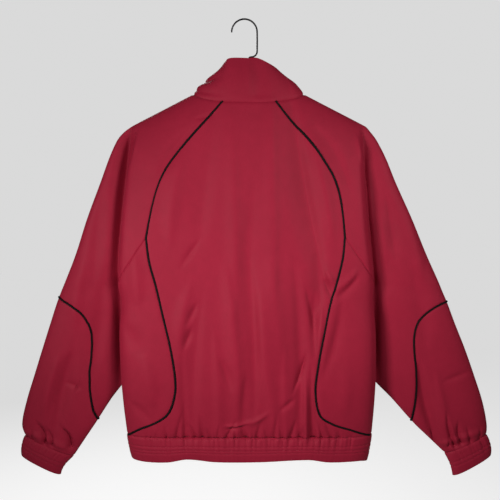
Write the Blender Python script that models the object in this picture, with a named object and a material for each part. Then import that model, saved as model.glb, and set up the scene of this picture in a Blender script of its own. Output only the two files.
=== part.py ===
"""Zip-up track jacket with raglan sleeves, hanging on a wire hanger.

The jacket is cut as it is sewn: back, side panels, fronts, raglan sleeves, forearms, collar, hem band and
cuffs are walls of cloth on one hanging form, and piping lies on the back and elbow seams. Seen from behind,
+X is to the right and the back of the jacket faces -Y. The origin is the bearing point inside the top of
the hanger's hook.

Lengths in the tables are millimetres, with heights (z) counted down from the hook's bearing point.
"""

import math

import bmesh
import bpy
from mathutils import Matrix, Vector, kdtree

MM = 0.001
SHARP_ANGLE = 40            # degrees between faces that meet in a crisp edge
LEFT, RIGHT = -1, 1
BACK, FRONT = -1, 1

# Cloth and seams
CLOTH = 1.2
SEAM_GAP = 0.3
SAME_PLACE = 0.05           # points of two pieces this near are one point of their seam
PIPING_WIDTH = 3.6
PIPING_HEIGHT = 1.6
PIPING_LIFT = 0.4          # clearance over the seam's gap
PIPING_TURN_LIFT = 0.45     # the same round a sleeve, whose edges turn tightly
PIPING_PROFILE = ((-0.5, 0.0), (-0.32, 0.85), (0.0, 1.0), (0.32, 0.85), (0.5, 0.0))    # across, out
PIPING_TOP_TRIM = 0.12      # parts of the first and last steps that are left off, clear of collar and hem
PIPING_FOOT_TRIM = 0.3

# Jacket
CENTRE_X = 7.5              # middle of the jacket from the hook's bearing point
HEM_SEAM_Z = -757.0
HEM_BAND = 45.0
CUFF_HALF = 9.5             # half the depth of a cuff's mouth
HEM_DRAW = 0.035
ARMPIT_Z = -472.0
SHOULDER_SLOPE = 0.51       # fall of the shoulder line for each millimetre outwards
SHOULDER_TOP_Z = -81.0      # where the two shoulder lines would meet
SHOULDER_TIP_X = 212.0
NECK_SIDE_X = 99.0
SHOULDER_ROUND = 80.0       # height over which the shoulders swell to the body's full depth
LAYER_BLEND = 4.0           # exponent that blends the body into the sleeve
SLEEVE_SQUARE = 2.6
FOLD_EASE = 12.0            # depth of cloth over which a fold gains its full height
FOLD_FADE = 0.6             # exponent that blends a fold into the cloth at its two ends

# Zip
ZIP_GAP_HALF = 5.0          # half the space between the two front edges
ZIP_TOP_DROP = 8.0          # from the collar's top edge to the top of the teeth
TAPE_HALF_THICK = 0.5
TEETH_BEVEL = 0.5
TEETH_HALF = 2.9
TEETH_RISE = 1.1
SLIDER_LENGTH = 11.0
SLIDER_WIDTH = 8.0
SLIDER_PLATE = 1.2
SLIDER_POST = 2.6           # part of the slider's length above the teeth, where its web joins the plates
WEB_SINK = 0.2              # overlap of the slider's parts before they are joined
BAIL_WIDTH = 1.6
BAIL_SPAN = 5.6
BAIL_TOP = 0.6              # from the top of the teeth down to the bail
BAIL_CLEAR = 2.2
BAIL_LEG = 1.2
BAIL_BAR = 1.0
PULL_LENGTH = 24.0
PULL_WIDTH = 5.6
PULL_THICK = 1.0
PULL_BAR = 0.5              # half the height of the bar that turns under the bail
EYE_WIDTH = 3.0
EYE_FOOT = 4.2
GRIP_WIDTH = 2.4            # slot through the tab's lower end
GRIP_TOP = 9.0
GRIP_FOOT = 4.0

# Hanger
WIRE = 3.4
HOOK_RADIUS = 23.0
SHANK_BEND = 10.0
STEM_TOP_Z = -65.0
STEM_BEND = 4.0
HANGER_DROP = 3.0           # wire's middle below the shoulder line
HANGER_TIP_X = 207.0
HANGER_TIP_ROUND = 7.5
TWIST_TURNS = 2
TWIST_PITCH = 4.5
TWIST_CLEAR = 0.5
TWIST_RISE = 4.0            # foot of the twist above the top of the two arms
TWIST_FOOT = ((5.6, 2.2, -2.2), (9.5, 2.0, 2.6), (15.0, 0.8, 7.0))      # out, y and fall, to the left arm
STEM_FOOT = ((14.0, 7.14), (8.0, 3.2), (3.2, 0.4), (0.6, -3.4))         # out and fall, from the right arm
ARM_PLACES = (26.0, 90.0, 150.0)
HOOK_TURN = 182.0           # degrees

# Samples along each piece
CURVE_STEPS = 16
EDGE_STEPS = 40
ARM_STEPS = 100
NECK_EASE_ROWS = 3          # rows over which the curve of the collar's seam fades out
SHOULDER_ROWS = 5
SIDE_EASE_ROWS = 4          # rows over which a side panel's columns crowd towards its edge
RAGLAN_ROWS = 11
GUSSET_ROWS = 3
SIDE_ROWS = 13
ELBOW_ROWS = 5
FOREARM_ROWS = 5
BACK_COLUMNS = 12
FRONT_COLUMNS = 5
BAND_ROWS = 2
COLLAR_ROWS = 3
TWIST_STEPS = 12
TIP_STEPS = 8
STEM_STEPS = 4
SHANK_STEPS = 6
HOOK_STEPS = 16

# The body, from the shoulder tips to the hem: half of it swells back and half to the front.
BODY_COLUMNS = ("z", "left", "right", "back", "front", "middle", "square")
BODY = [
    (-131, -226, 221, 38, 32, 0, 6.0),
    (-195, -223, 218, 38, 32, 0, 6.0),
    (-260, -224, 212, 38, 32, 0, 4.6),
    (-350, -234, 217, 38, 33, 1, 3.4),
    (-420, -240, 226, 37, 33, 2, 3.0),
    (-472, -241, 231, 36, 33, 2, 2.8),
    (-510, -235, 230, 36, 33, 2, 2.8),
    (-560, -239, 235, 36, 33, 2, 2.8),
    (-640, -238, 237, 35, 32, 2, 2.8),
    (-700, -234, 235, 33, 30, 2, 2.8),
    (-757, -228, 231, 30, 27, 2, 2.8),
]

# The sleeves: outer edge, inner edge, y of each edge and half the depth between the two layers.
SLEEVE_COLUMNS = ("z", "outer_left", "outer_right", "inner_left", "inner_right", "y_inner", "y_outer",
                  "half")
SLEEVE = [
    (-131, -99, 99, -99, 99, 0, 0, 0.0),
    (-189, -212, 212, -204, 199, 0, 0, 3.0),
    (-195, -219, 215, -205, 200, 0, 0, 4.5),
    (-201, -224, 219, -205, 200, 0, 1, 6.0),
    (-213, -234, 229, -206, 201, 0, 1, 7.5),
    (-244, -251, 247, -209, 203, 0, 2, 10.0),
    (-288, -270, 268, -214, 206, 0, 3, 12.0),
    (-354, -296, 299, -221, 210, 1, 4, 14.0),
    (-421, -319, 328, -230, 219, 2, 5, 15.0),
    (-472, -340, 352, -241, 231, 2, 6, 15.0),
    (-490, -348, 360, -245, 237, 9, 7, 15.0),
    (-510, -356, 369, -240, 233, 15, 7, 15.5),
    (-550, -370, 385, -229, 224, 21, 8, 16.0),
    (-600, -387, 406, -219, 216, 25, 9, 16.0),
    (-648, -403, 424, -227, 228, 25, 10, 15.5),
    (-700, -420, 442, -264, 276, 22, 11, 15.0),
    (-745, -430, 452, -293, 316, 19, 12, 14.0),
    (-800, -424, 452, -330, 362, 17, 13, 13.0),
]

# Seam under each line of piping, from the collar to the side of the hem.
BACK_SEAM = {
    LEFT: [(-46, -148), (-74, -180), (-101, -210), (-125, -238), (-144, -264), (-158, -292), (-168, -323),
           (-176, -358), (-182, -390), (-177, -432), (-166, -474), (-153, -532), (-141, -586), (-133, -640),
           (-134, -676), (-146, -709), (-169, -727), (-200, -741), (-224, -757)],
    RIGHT: [(48, -148), (71, -177), (97, -205), (116, -228), (133, -253), (150, -281), (161, -313),
            (167, -348), (171, -388), (168, -424), (159, -464), (146, -510), (137, -558), (126, -620),
            (121, -668), (129, -711), (152, -729), (188, -742), (226, -757)],
}
RAGLAN_POINTS = 9           # of those, how many lie on the sleeve's own seam

FRONT_SEAM = {
    LEFT: [(-56, -184), (-104, -228), (-146, -284), (-182, -352), (-212, -420), (-241, -472)],
    RIGHT: [(56, -184), (103, -228), (143, -284), (177, -352), (205, -420), (231, -472)],
}

# Height of the collar's seam across the back and the fronts, out from the middle.
NECK_BACK = [(0, -150), (25, -149.5), (48, -148), (66, -145), (82, -141), (93, -136), (99, -131.5)]
NECK_FRONT = [(0, -216), (30, -206), (56, -184), (78, -160), (92, -142), (99, -131.5)]

# Top edge of the collar from the middle of the back (0) round to the zip (1).
COLLAR_COLUMNS = ("round", "left_x", "left_y", "left_z", "right_x", "right_y", "right_z")
COLLAR_TOP = [
    (0.00, 0, -20, -68, 0, -20, -68),
    (0.12, -30, -19, -68, 17, -19, -67),
    (0.24, -41, -14, -76, 34, -15, -78),
    (0.36, -50, -4, -87, 52, -6, -90),
    (0.48, -61, 8, -99, 66, 6, -103),
    (0.60, -66, 20, -112, 66, 19, -114),
    (0.74, -52, 31, -128, 50, 31, -129),
    (0.88, -26, 38, -139, 26, 38, -139),
    (1.00, -5, 40, -143, 5, 40, -143),
]
COLLAR_SWELL = 5.0

# Where round the sleeve the elbow seam lies: across from the inner edge (0) to the outer edge (1), and down
# from the armpit (0) to the cuff (1).
ELBOW_COLUMNS = ("across", "down_left", "down_right")
ELBOW = [
    (0.00, 0.79, 0.79),
    (0.06, 0.772, 0.772),
    (0.16, 0.70, 0.70),
    (0.24, 0.62, 0.63),
    (0.31, 0.50, 0.52),
    (0.37, 0.38, 0.40),
    (0.44, 0.29, 0.30),
    (0.55, 0.215, 0.215),
    (0.70, 0.15, 0.15),
    (0.86, 0.105, 0.10),
    (1.00, 0.085, 0.075),
]
ARM_END_Z = {LEFT: (-793.0, -764.0), RIGHT: (-790.0, -762.0)}       # inner and outer end of the cuff's seam
CUFF_CORNERS = {LEFT: ((-432, -808), (-366, -844)), RIGHT: ((461, -803), (394, -845))}     # outer, inner
ACROSS_BACK = (0.0, 0.035, 0.11, 0.20, 0.28, 0.34, 0.41, 0.51, 0.64, 0.79, 0.92, 0.98, 1.0)
ACROSS_FRONT = (0.98, 0.89, 0.66, 0.38, 0.14, 0.025, 0.0)

# The widest folds: a line on one layer, its half width and how far it stands out (lies in, when negative).
FOLD_COLUMNS = ("layer", "x0", "z0", "x1", "z1", "half_width", "rise")
FOLDS = [
    (BACK, -217, -206, -239, -446, 15, -8.5),
    (BACK, 210, -208, 227, -446, 15, -8.5),
    (BACK, -28, -330, -20, -735, 26, 5.0),
    (BACK, 38, -300, 44, -735, 26, 4.5),
    (BACK, 8, -430, 6, -735, 20, -3.5),
    (BACK, 52, -165, 84, -690, 24, -5.0),
    (BACK, -92, -480, -78, -720, 24, -4.0),
    (BACK, -112, -430, -120, -590, 22, 4.0),
    (FRONT, -90, -240, -70, -735, 28, 4.5),
    (FRONT, 90, -240, 66, -735, 28, 4.5),
    (FRONT, -40, -330, -38, -735, 24, -4.0),
    (FRONT, 42, -300, 36, -735, 24, -4.0),
]


def blend_table(table, columns, name, where):
    """Value of a named column at a place along the table's first column, on a smooth curve."""
    column = columns.index(name)
    step = 1 if table[-1][0] > table[0][0] else -1
    last = len(table) - 1
    index = 0
    while index < last - 1 and step * where > step * table[index + 1][0]:
        index += 1
    start, end = table[index], table[index + 1]
    width = end[0] - start[0]
    part = min(max((where - start[0]) / width, 0.0), 1.0)
    before, after = table[max(index - 1, 0)], table[min(index + 2, last)]
    slope0 = (end[column] - before[column]) / (end[0] - before[0])
    slope1 = (after[column] - start[column]) / (after[0] - start[0])
    square, cube = part * part, part * part * part
    return ((2 * cube - 3 * square + 1) * start[column] + (cube - 2 * square + part) * width * slope0
            + (3 * square - 2 * cube) * end[column] + (cube - square) * width * slope1)


def curve_through(points, count):
    """Points spaced evenly along a smooth curve through a few plane points."""
    fine = []
    for index in range(len(points) - 1):
        p0 = Vector(points[max(index - 1, 0)])
        p1, p2 = Vector(points[index]), Vector(points[index + 1])
        p3 = Vector(points[min(index + 2, len(points) - 1)])
        for step in range(CURVE_STEPS):
            t = step / CURVE_STEPS
            fine.append(0.5 * (2 * p1 + (p2 - p0) * t + (2 * p0 - 5 * p1 + 4 * p2 - p3) * t ** 2
                               + (3 * p1 - p0 - 3 * p2 + p3) * t ** 3))
    fine.append(Vector(points[-1]))
    return spaced(fine, count)


def spaced(points, count):
    """The same line with a given number of equal steps."""
    lengths = [0.0]
    for start, end in zip(points, points[1:]):
        lengths.append(lengths[-1] + (end - start).length)
    result, index = [], 0
    for step in range(count + 1):
        target = lengths[-1] * step / count
        while index < len(points) - 2 and lengths[index + 1] < target:
            index += 1
        span = lengths[index + 1] - lengths[index]
        part = (target - lengths[index]) / span
        result.append(points[index].lerp(points[index + 1], min(max(part, 0.0), 1.0)))
    return result


def side_name(name, side):
    """Name of a table's column for one side."""
    return name + ("left" if side == LEFT else "right")


def body_value(name, z):
    """Value of a body column at a height."""
    return blend_table(BODY, BODY_COLUMNS, name, z)


def sleeve_value(name, z):
    """Value of a sleeve column at a height."""
    return blend_table(SLEEVE, SLEEVE_COLUMNS, name, z)


def fold_rise(layer, x, z):
    """How far the widest folds lift a layer at a point, in its outward direction."""
    place, rise = Vector((x, z)), 0.0
    for values in FOLDS:
        fold = dict(zip(FOLD_COLUMNS, values))
        if fold["layer"] != layer:
            continue
        start = Vector((fold["x0"], fold["z0"]))
        span = Vector((fold["x1"], fold["z1"])) - start
        along = min(max((place - start).dot(span) / span.length_squared, 0.0), 1.0)
        across = (place - start - span * along).length
        fade = math.sin(math.pi * along) ** FOLD_FADE
        rise += fold["rise"] * fade * math.exp(-(across / fold["half_width"]) ** 2)
    return rise


def body_swell(layer, x, z):
    """Depth of the body's layer from its middle plane at a point of the front view."""
    left, right = body_value("left", z), body_value("right", z)
    across = min(abs(x - (left + right) / 2) / ((right - left) / 2), 1.0)
    below = max(SHOULDER_TOP_Z - SHOULDER_SLOPE * abs(x) - z, 0.0)
    side = math.sqrt(1 - across ** body_value("square", z))
    top = math.sqrt(1 - math.exp(-below / SHOULDER_ROUND))
    return body_value("back" if layer == BACK else "front", z) * side * top


def body_point(layer, x, z):
    """Point on the body's back or front."""
    swell = body_swell(layer, x, z)
    easing = min(swell / FOLD_EASE, 1.0)
    return Vector((x, body_value("middle", z) + layer * (swell + easing * fold_rise(layer, x, z)), z))


def sleeve_point(side, layer, x, z, closed):
    """Point on a sleeve; above the armpit (not closed) it grows out of the body."""
    inner = abs(sleeve_value(side_name("inner_", side), z))
    outer = abs(sleeve_value(side_name("outer_", side), z))
    across = min(max((abs(x) - inner) / max(outer - inner, 0.1), 0.0), 1.0)
    own = sleeve_value("half", z) * math.sqrt(max(1 - abs(2 * across - 1) ** SLEEVE_SQUARE, 0.0))
    easing = across * across * (3 - 2 * across)
    middle = sleeve_value("y_inner", z) * (1 - easing) + sleeve_value("y_outer", z) * easing
    swell = own
    if not closed:
        body = body_swell(layer, x, z)
        swell = (own ** LAYER_BLEND + body ** LAYER_BLEND) ** (1 / LAYER_BLEND)
        middle = body_value("middle", z) * (1 - easing) + sleeve_value("y_outer", z) * easing
        swell += min(swell / FOLD_EASE, 1.0) * fold_rise(layer, x, z)
    return Vector((x, middle + layer * swell, z))


def side_edge(side):
    """Points down the body's side edge, from the armpit to the hem."""
    rows = []
    for step in range(SIDE_ROWS + 1):
        z = ARMPIT_Z + (HEM_SEAM_Z - ARMPIT_Z) * step / SIDE_ROWS
        rows.append(Vector((body_value(side_name("", side), z), z)))
    return rows


def seams(side):
    """Plane points of the seams of one side: raglan, gusset, lower back seam, front raglan and side edge."""
    line = BACK_SEAM[side]
    raglan = curve_through(line[:RAGLAN_POINTS], RAGLAN_ROWS)
    lower = curve_through(line[RAGLAN_POINTS - 1:], SIDE_ROWS)
    armpit = Vector((body_value(side_name("", side), ARMPIT_Z), ARMPIT_Z))
    gusset = [raglan[-1].lerp(armpit, step / GUSSET_ROWS) for step in range(GUSSET_ROWS + 1)]
    front = curve_through(FRONT_SEAM[side], RAGLAN_ROWS + GUSSET_ROWS)
    return {"raglan": raglan, "gusset": gusset, "lower": lower, "front": front, "edge": side_edge(side)}


def neck_height(table, x):
    """Height of the collar's seam at a distance from the middle."""
    return blend_table(table, ("x", "z"), "z", abs(x))


def outer_line(side):
    """Plane points down the sleeve's outer edge, from the neck over the tip to the armpit's height."""
    neck = Vector((side * NECK_SIDE_X, SHOULDER_TOP_Z - SHOULDER_SLOPE * NECK_SIDE_X))
    tip = Vector((side * SHOULDER_TIP_X, SHOULDER_TOP_Z - SHOULDER_SLOPE * SHOULDER_TIP_X))
    shoulder = [neck.lerp(tip, step / SHOULDER_ROWS) for step in range(SHOULDER_ROWS)]
    name = side_name("outer_", side)
    arm = [(row[SLEEVE_COLUMNS.index(name)], row[0]) for row in SLEEVE if -201 >= row[0] >= ARMPIT_Z]
    return shoulder + curve_through([tip] + arm, RAGLAN_ROWS + GUSSET_ROWS - SHOULDER_ROWS)


def back_grid():
    """Points of the back panel, row by row from the collar to the hem."""
    left, right = seams(LEFT), seams(RIGHT)
    rows = []
    left_line, right_line = left["raglan"] + left["lower"][1:], right["raglan"] + right["lower"][1:]
    for index, (start, end) in enumerate(zip(left_line, right_line)):
        row = []
        for step in range(BACK_COLUMNS + 1):
            place = start.lerp(end, step / BACK_COLUMNS)
            neck = left_line[0].lerp(right_line[0], step / BACK_COLUMNS)
            place.y += (neck_height(NECK_BACK, neck.x) - neck.y) * max(1 - index / NECK_EASE_ROWS, 0.0)
            row.append(body_point(BACK, place.x, place.y))
        rows.append(row)
    return rows


def side_grid(side):
    """Points of a side panel, from the back seam to the side edge."""
    line = seams(side)
    rows = []
    for index, (start, end) in enumerate(zip(line["lower"], line["edge"])):
        row = []
        for step in range(GUSSET_ROWS + 1):
            part = step / GUSSET_ROWS
            if index:
                easing = min(index / SIDE_EASE_ROWS, 1.0)
                part += easing * (math.sin(part * math.pi / 2) - part)
            place = start.lerp(end, part)
            row.append(body_point(BACK, place.x, place.y))
        rows.append(row)
    return rows


def front_grid(side):
    """Points of a front, from its zip edge to the raglan seam and the side edge."""
    line = seams(side)
    outer = line["front"] + line["edge"][1:]
    rows = []
    for index, end in enumerate(outer):
        if index < len(line["front"]):
            part = index / (len(line["front"]) - 1)
            height = NECK_FRONT[0][1] + (ARMPIT_Z - NECK_FRONT[0][1]) * part
        else:
            height = end.y
        start = Vector((side * ZIP_GAP_HALF, height))
        row = []
        for step in range(FRONT_COLUMNS + 1):
            part = math.sin(step / FRONT_COLUMNS * math.pi / 2)
            place = start.lerp(end, part)
            neck = Vector((side * ZIP_GAP_HALF, NECK_FRONT[0][1])).lerp(outer[0], part)
            place.y += (neck_height(NECK_FRONT, neck.x) - neck.y) * max(1 - index / NECK_EASE_ROWS, 0.0)
            row.append(body_point(FRONT, place.x, place.y))
        rows.append(row)
    return rows


def rung_half(side, layer, line, outer, index, places):
    """Points of one layer of the sleeve above the armpit, from its seam to the outer edge."""
    table = NECK_BACK if layer == BACK else NECK_FRONT
    row = []
    for across in places:
        place = line[index].lerp(outer[index], across)
        neck = line[0].lerp(outer[0], across)
        place.y += (neck_height(table, neck.x) - neck.y) * max(1 - index / NECK_EASE_ROWS, 0.0)
        if across == 0.0:
            row.append(body_point(layer, place.x, place.y))
        elif across == 1.0:
            row.append(Vector((place.x, sleeve_value("y_outer", place.y), place.y)))
        else:
            row.append(sleeve_point(side, layer, place.x, place.y, False))
    return row


def arm_ends(side):
    """Evenly spaced plane points of the inner and outer edges, from the armpit to the cuff's seam."""
    inner_name, outer_name = side_name("inner_", side), side_name("outer_", side)
    inner_end, outer_end = ARM_END_Z[side]

    def line(name, end):
        heights = [ARMPIT_Z + (end - ARMPIT_Z) * step / EDGE_STEPS for step in range(EDGE_STEPS + 1)]
        return spaced([Vector((sleeve_value(name, z), z)) for z in heights], ARM_STEPS)

    return line(inner_name, inner_end), line(outer_name, outer_end)


def arm_point(side, ends, layer, across, down):
    """Point on the closed sleeve, across from its inner edge and down from the armpit."""
    place = min(max(down, 0.0), 1.0) * ARM_STEPS
    low = min(int(place), ARM_STEPS - 1)
    inner = ends[0][low].lerp(ends[0][low + 1], place - low)
    outer = ends[1][low].lerp(ends[1][low + 1], place - low)
    spot = inner.lerp(outer, across)
    return sleeve_point(side, layer, spot.x, spot.y, True)


def elbow_down(side, layer, across):
    """How far down the sleeve the elbow seam lies."""
    name = side_name("down_", side)
    if layer == BACK:
        return blend_table(ELBOW, ELBOW_COLUMNS, name, across)
    low = ELBOW[0][ELBOW_COLUMNS.index(name)]
    high = ELBOW[-1][ELBOW_COLUMNS.index(name)]
    return low + (high - low) * (0.5 - 0.5 * math.cos(math.pi * across))


def round_places():
    """Layer and place across for each column round a sleeve."""
    return [(BACK, across) for across in ACROSS_BACK] + [(FRONT, across) for across in ACROSS_FRONT]


def sleeve_grid(side):
    """Points of a sleeve from the collar to the elbow seam; its last rows close under the arm."""
    line = seams(side)
    back_line = line["raglan"] + line["gusset"][1:]
    outer = outer_line(side)
    rows = []
    for index in range(len(outer)):
        rows.append(rung_half(side, BACK, back_line, outer, index, ACROSS_BACK)
                    + rung_half(side, FRONT, line["front"], outer, index, ACROSS_FRONT))
    ends = arm_ends(side)
    armpit_row = len(rows) - 1
    for step in range(1, ELBOW_ROWS + 1):
        part = step / ELBOW_ROWS
        rows.append([arm_point(side, ends, layer, across, part * elbow_down(side, layer, across))
                     for layer, across in round_places()])
    return rows, armpit_row


def forearm_grid(side):
    """Points of a forearm panel, from the elbow seam to the cuff's seam."""
    ends = arm_ends(side)
    rows = []
    for step in range(FOREARM_ROWS + 1):
        row = []
        for layer, across in round_places():
            start = elbow_down(side, layer, across)
            row.append(arm_point(side, ends, layer, across, start + (1 - start) * step / FOREARM_ROWS))
        rows.append(row)
    return rows


def cuff_grid(side):
    """Points of a cuff, which its elastic draws in from the forearm's end."""
    top = forearm_grid(side)[-1]
    outer, inner = (Vector((x, 0.0, z)) for x, z in CUFF_CORNERS[side])
    depth = sum(point.y for point in top) / len(top)
    rows = []
    for step in range(BAND_ROWS + 1):
        part = step / BAND_ROWS
        drawn = 1 - (1 - part) ** 2
        row = []
        for point, (layer, across) in zip(top, round_places()):
            low = inner.lerp(outer, across)
            low.y = depth + layer * CUFF_HALF * math.sqrt(1 - abs(2 * across - 1) ** SLEEVE_SQUARE)
            row.append(Vector((point.x + (low.x - point.x) * drawn, point.y + (low.y - point.y) * drawn,
                               point.z + (low.z - point.z) * part)))
        rows.append(row)
    return rows


def ring_at_neck():
    """Points round the collar's seam, from the zip by each side to the middle of the back."""
    sleeve = {side: sleeve_grid(side)[0][0] for side in (LEFT, RIGHT)}
    front = {side: front_grid(side)[0] for side in (LEFT, RIGHT)}
    back = back_grid()[0]
    half = BACK_COLUMNS // 2
    return {
        LEFT: front[LEFT] + sleeve[LEFT][::-1][1:] + back[1:half + 1],
        RIGHT: back[half:] + sleeve[RIGHT][1:] + front[RIGHT][::-1][1:],
    }


def collar_edge(side, place):
    """Point on the collar's top edge."""
    return Vector([blend_table(COLLAR_TOP, COLLAR_COLUMNS, side_name("", side) + axis, place)
                   for axis in ("_x", "_y", "_z")])


def collar_grid():
    """Points of the collar from its seam to its top edge."""
    runs = ring_at_neck()
    base, top = [], []
    for side in (LEFT, RIGHT):
        run = runs[side]
        lengths = [0.0]
        for start, end in zip(run, run[1:]):
            lengths.append(lengths[-1] + (end - start).length)
        for index, point in enumerate(run):
            if side == RIGHT and index == 0:
                continue
            along = lengths[index] / lengths[-1]
            base.append(point)
            top.append(collar_edge(side, 1 - along if side == LEFT else along))
    middle = (sum(base, Vector()) + sum(top, Vector())) / (2 * len(base))
    rows = []
    for step in range(COLLAR_ROWS + 1):
        part = step / COLLAR_ROWS
        row = []
        for low, high in zip(base, top):
            point = low.lerp(high, part)
            out = Vector((point.x - middle.x, point.y - middle.y, 0.0)).normalized()
            row.append(point + out * COLLAR_SWELL * math.sin(math.pi * part))
        rows.append(row)
    return rows


def hem_grid():
    """Points of the hem band, from the zip's left edge by the back to its right edge."""
    left_front, right_front = front_grid(LEFT)[-1], front_grid(RIGHT)[-1]
    left_side, right_side = side_grid(LEFT)[-1], side_grid(RIGHT)[-1]
    top = left_front + left_side[::-1][1:] + back_grid()[-1][1:] + right_side[1:] + right_front[::-1][1:]
    rows = []
    for step in range(BAND_ROWS + 1):
        part = step / BAND_ROWS
        draw = 1 - HEM_DRAW * part
        row = [Vector((point.x * draw, point.y * draw, point.z - HEM_BAND * part)) for point in top]
        row[0].x, row[-1].x = top[0].x, top[-1].x
        rows.append(row)
    return rows


def zip_line():
    """Middle line of the zip from the collar's top edge to the bottom of the hem band."""
    collar, front, hem = collar_grid(), front_grid(RIGHT), hem_grid()
    points = [row[-1] for row in collar[::-1]] + [row[0] for row in front[1:]] + [row[-1] for row in hem[1:]]
    return [Vector((0.0, point.y, point.z)) for point in points]


def grid_normals(rows, outward):
    """Outward direction at each point, from its neighbours."""
    last_row, last_column = len(rows) - 1, len(rows[0]) - 1
    result = []
    for i, row in enumerate(rows):
        line = []
        for j in range(last_column + 1):
            across = row[min(j + 1, last_column)] - row[max(j - 1, 0)]
            down = rows[min(i + 1, last_row)][j] - rows[max(i - 1, 0)][j]
            line.append(across.cross(down).normalized() * outward)
        result.append(line)
    return result


class Panel:
    """A piece of cloth: a grid of points on its middle surface, with outward directions."""

    def __init__(self, name, rows, outward, armpit_row=None, wall=CLOTH):
        self.name, self.rows, self.armpit_row, self.wall = name, rows, armpit_row, wall
        self.close_tube()
        self.normals = grid_normals(rows, outward)

    def close_tube(self):
        """Bring the last column of each closed row onto its first."""
        if self.armpit_row is not None:
            for row in self.rows[self.armpit_row:]:
                row[-1] = row[0].copy()

    def closed_at(self, i):
        """Whether a row runs right round into a tube."""
        return self.armpit_row is not None and i >= self.armpit_row

    def border(self):
        """Row and column of each point on the piece's edge."""
        last_row, last_column = len(self.rows) - 1, len(self.rows[0]) - 1
        return [(i, j) for i in range(last_row + 1) for j in range(last_column + 1)
                if i in (0, last_row) or (j in (0, last_column))]

    def inset(self):
        """Draw the edges in by half the seam's gap."""
        last_row, last_column = len(self.rows) - 1, len(self.rows[0]) - 1
        moves = {}
        for i, j in self.border():
            here, normal = self.rows[i][j], self.normals[i][j]
            move = Vector()
            if i in (0, last_row):
                inner = self.rows[1 if i == 0 else last_row - 1][j]
                along = self.rows[i][min(j + 1, last_column)] - self.rows[i][max(j - 1, 0)]
                move += self.inward(along, normal, inner - here)
            if j in (0, last_column) and not self.closed_at(i):
                inner = self.rows[i][1 if j == 0 else last_column - 1]
                along = self.rows[min(i + 1, last_row)][j] - self.rows[max(i - 1, 0)][j]
                move += self.inward(along, normal, inner - here)
            if i == self.armpit_row and i > 0 and j in (0, last_column):
                move += (self.rows[i + 1][0] - here).normalized() * 2 * SEAM_GAP
            moves[(i, j)] = move
        for (i, j), move in moves.items():
            self.rows[i][j] = self.rows[i][j] + move
        self.close_tube()

    @staticmethod
    def inward(along, normal, towards):
        """Step of half the seam's gap across an edge."""
        step = along.cross(normal).normalized() * SEAM_GAP / 2
        return step if step.dot(towards) > 0 else -step


def match_seams(panels):
    """Give the pieces that meet at a point of a seam the same outward direction there."""
    places = [(panel, i, j) for panel in panels for i, j in panel.border()]
    tree = kdtree.KDTree(len(places))
    for index, (panel, i, j) in enumerate(places):
        tree.insert(panel.rows[i][j], index)
    tree.balance()
    means = []
    for panel, i, j in places:
        total = Vector()
        for _, index, _ in tree.find_range(panel.rows[i][j], SAME_PLACE):
            other, k, m = places[index]
            total += other.normals[k][m]
        means.append(total.normalized())
    for (panel, i, j), mean in zip(places, means):
        panel.normals[i][j] = mean


def add_object(name, mesh, finish):
    """Link a mesh as a named object with its own material."""
    colour, roughness, metallic = finish
    material = bpy.data.materials.new(name + "_finish")
    material.use_nodes = True
    shader = material.node_tree.nodes["Principled BSDF"]
    shader.inputs["Base Color"].default_value = (*colour, 1.0)
    shader.inputs["Roughness"].default_value = roughness
    shader.inputs["Metallic"].default_value = metallic
    mesh.materials.append(material)
    item = bpy.data.objects.new(name, mesh)
    bpy.context.scene.collection.objects.link(item)
    return item


def finish_mesh(shape, name):
    """Turn a bmesh in millimetres into a mesh in metres with its faces pointing out."""
    bmesh.ops.transform(shape, matrix=Matrix.Diagonal((MM, MM, MM, 1.0)), verts=shape.verts)
    bmesh.ops.recalc_face_normals(shape, faces=shape.faces)
    mesh = bpy.data.meshes.new(name)
    shape.to_mesh(mesh)
    shape.free()
    mesh.shade_smooth()
    mesh.set_sharp_from_angle(angle=math.radians(SHARP_ANGLE))
    return mesh


def add_panel(panel, finish):
    """Make a wall of cloth from a panel's points and outward directions, with both skins split alike."""
    shape = bmesh.new()
    shift = Vector((CENTRE_X, 0.0, 0.0))
    skins = []
    last_column = len(panel.rows[0]) - 1
    for offset in (panel.wall / 2, -panel.wall / 2):
        skin = []
        for i, (row, line) in enumerate(zip(panel.rows, panel.normals)):
            verts = [shape.verts.new(point + normal * offset + shift) for point, normal in zip(row, line)]
            if panel.closed_at(i):
                shape.verts.remove(verts[last_column])
                verts[last_column] = verts[0]
            skin.append(verts)
        skins.append(skin)
    outside, inside = skins
    for i in range(len(panel.rows) - 1):
        for j in range(last_column):
            corners = [(i, j), (i, j + 1), (i + 1, j + 1), (i + 1, j)]
            first, second, third, fourth = (panel.rows[row][column] for row, column in corners)
            if (third - first).length > (fourth - second).length:
                corners = corners[1:] + corners[:1]
            for half in (corners[:3], corners[2:] + corners[:1]):
                shape.faces.new([outside[row][column] for row, column in half])
                shape.faces.new([inside[row][column] for row, column in reversed(half)])
    open_edges = [edge for edge in shape.edges if len(edge.link_faces) == 1]
    outer_edges = {edge for edge in open_edges if edge.verts[0] in {v for row in outside for v in row}}
    partner = {}
    for row, other in zip(outside, inside):
        partner.update(zip(row, other))
    for edge in outer_edges:
        first, second = edge.verts
        shape.faces.new((first, second, partner[second], partner[first]))
    return add_object(panel.name, finish_mesh(shape, panel.name), finish)


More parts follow.
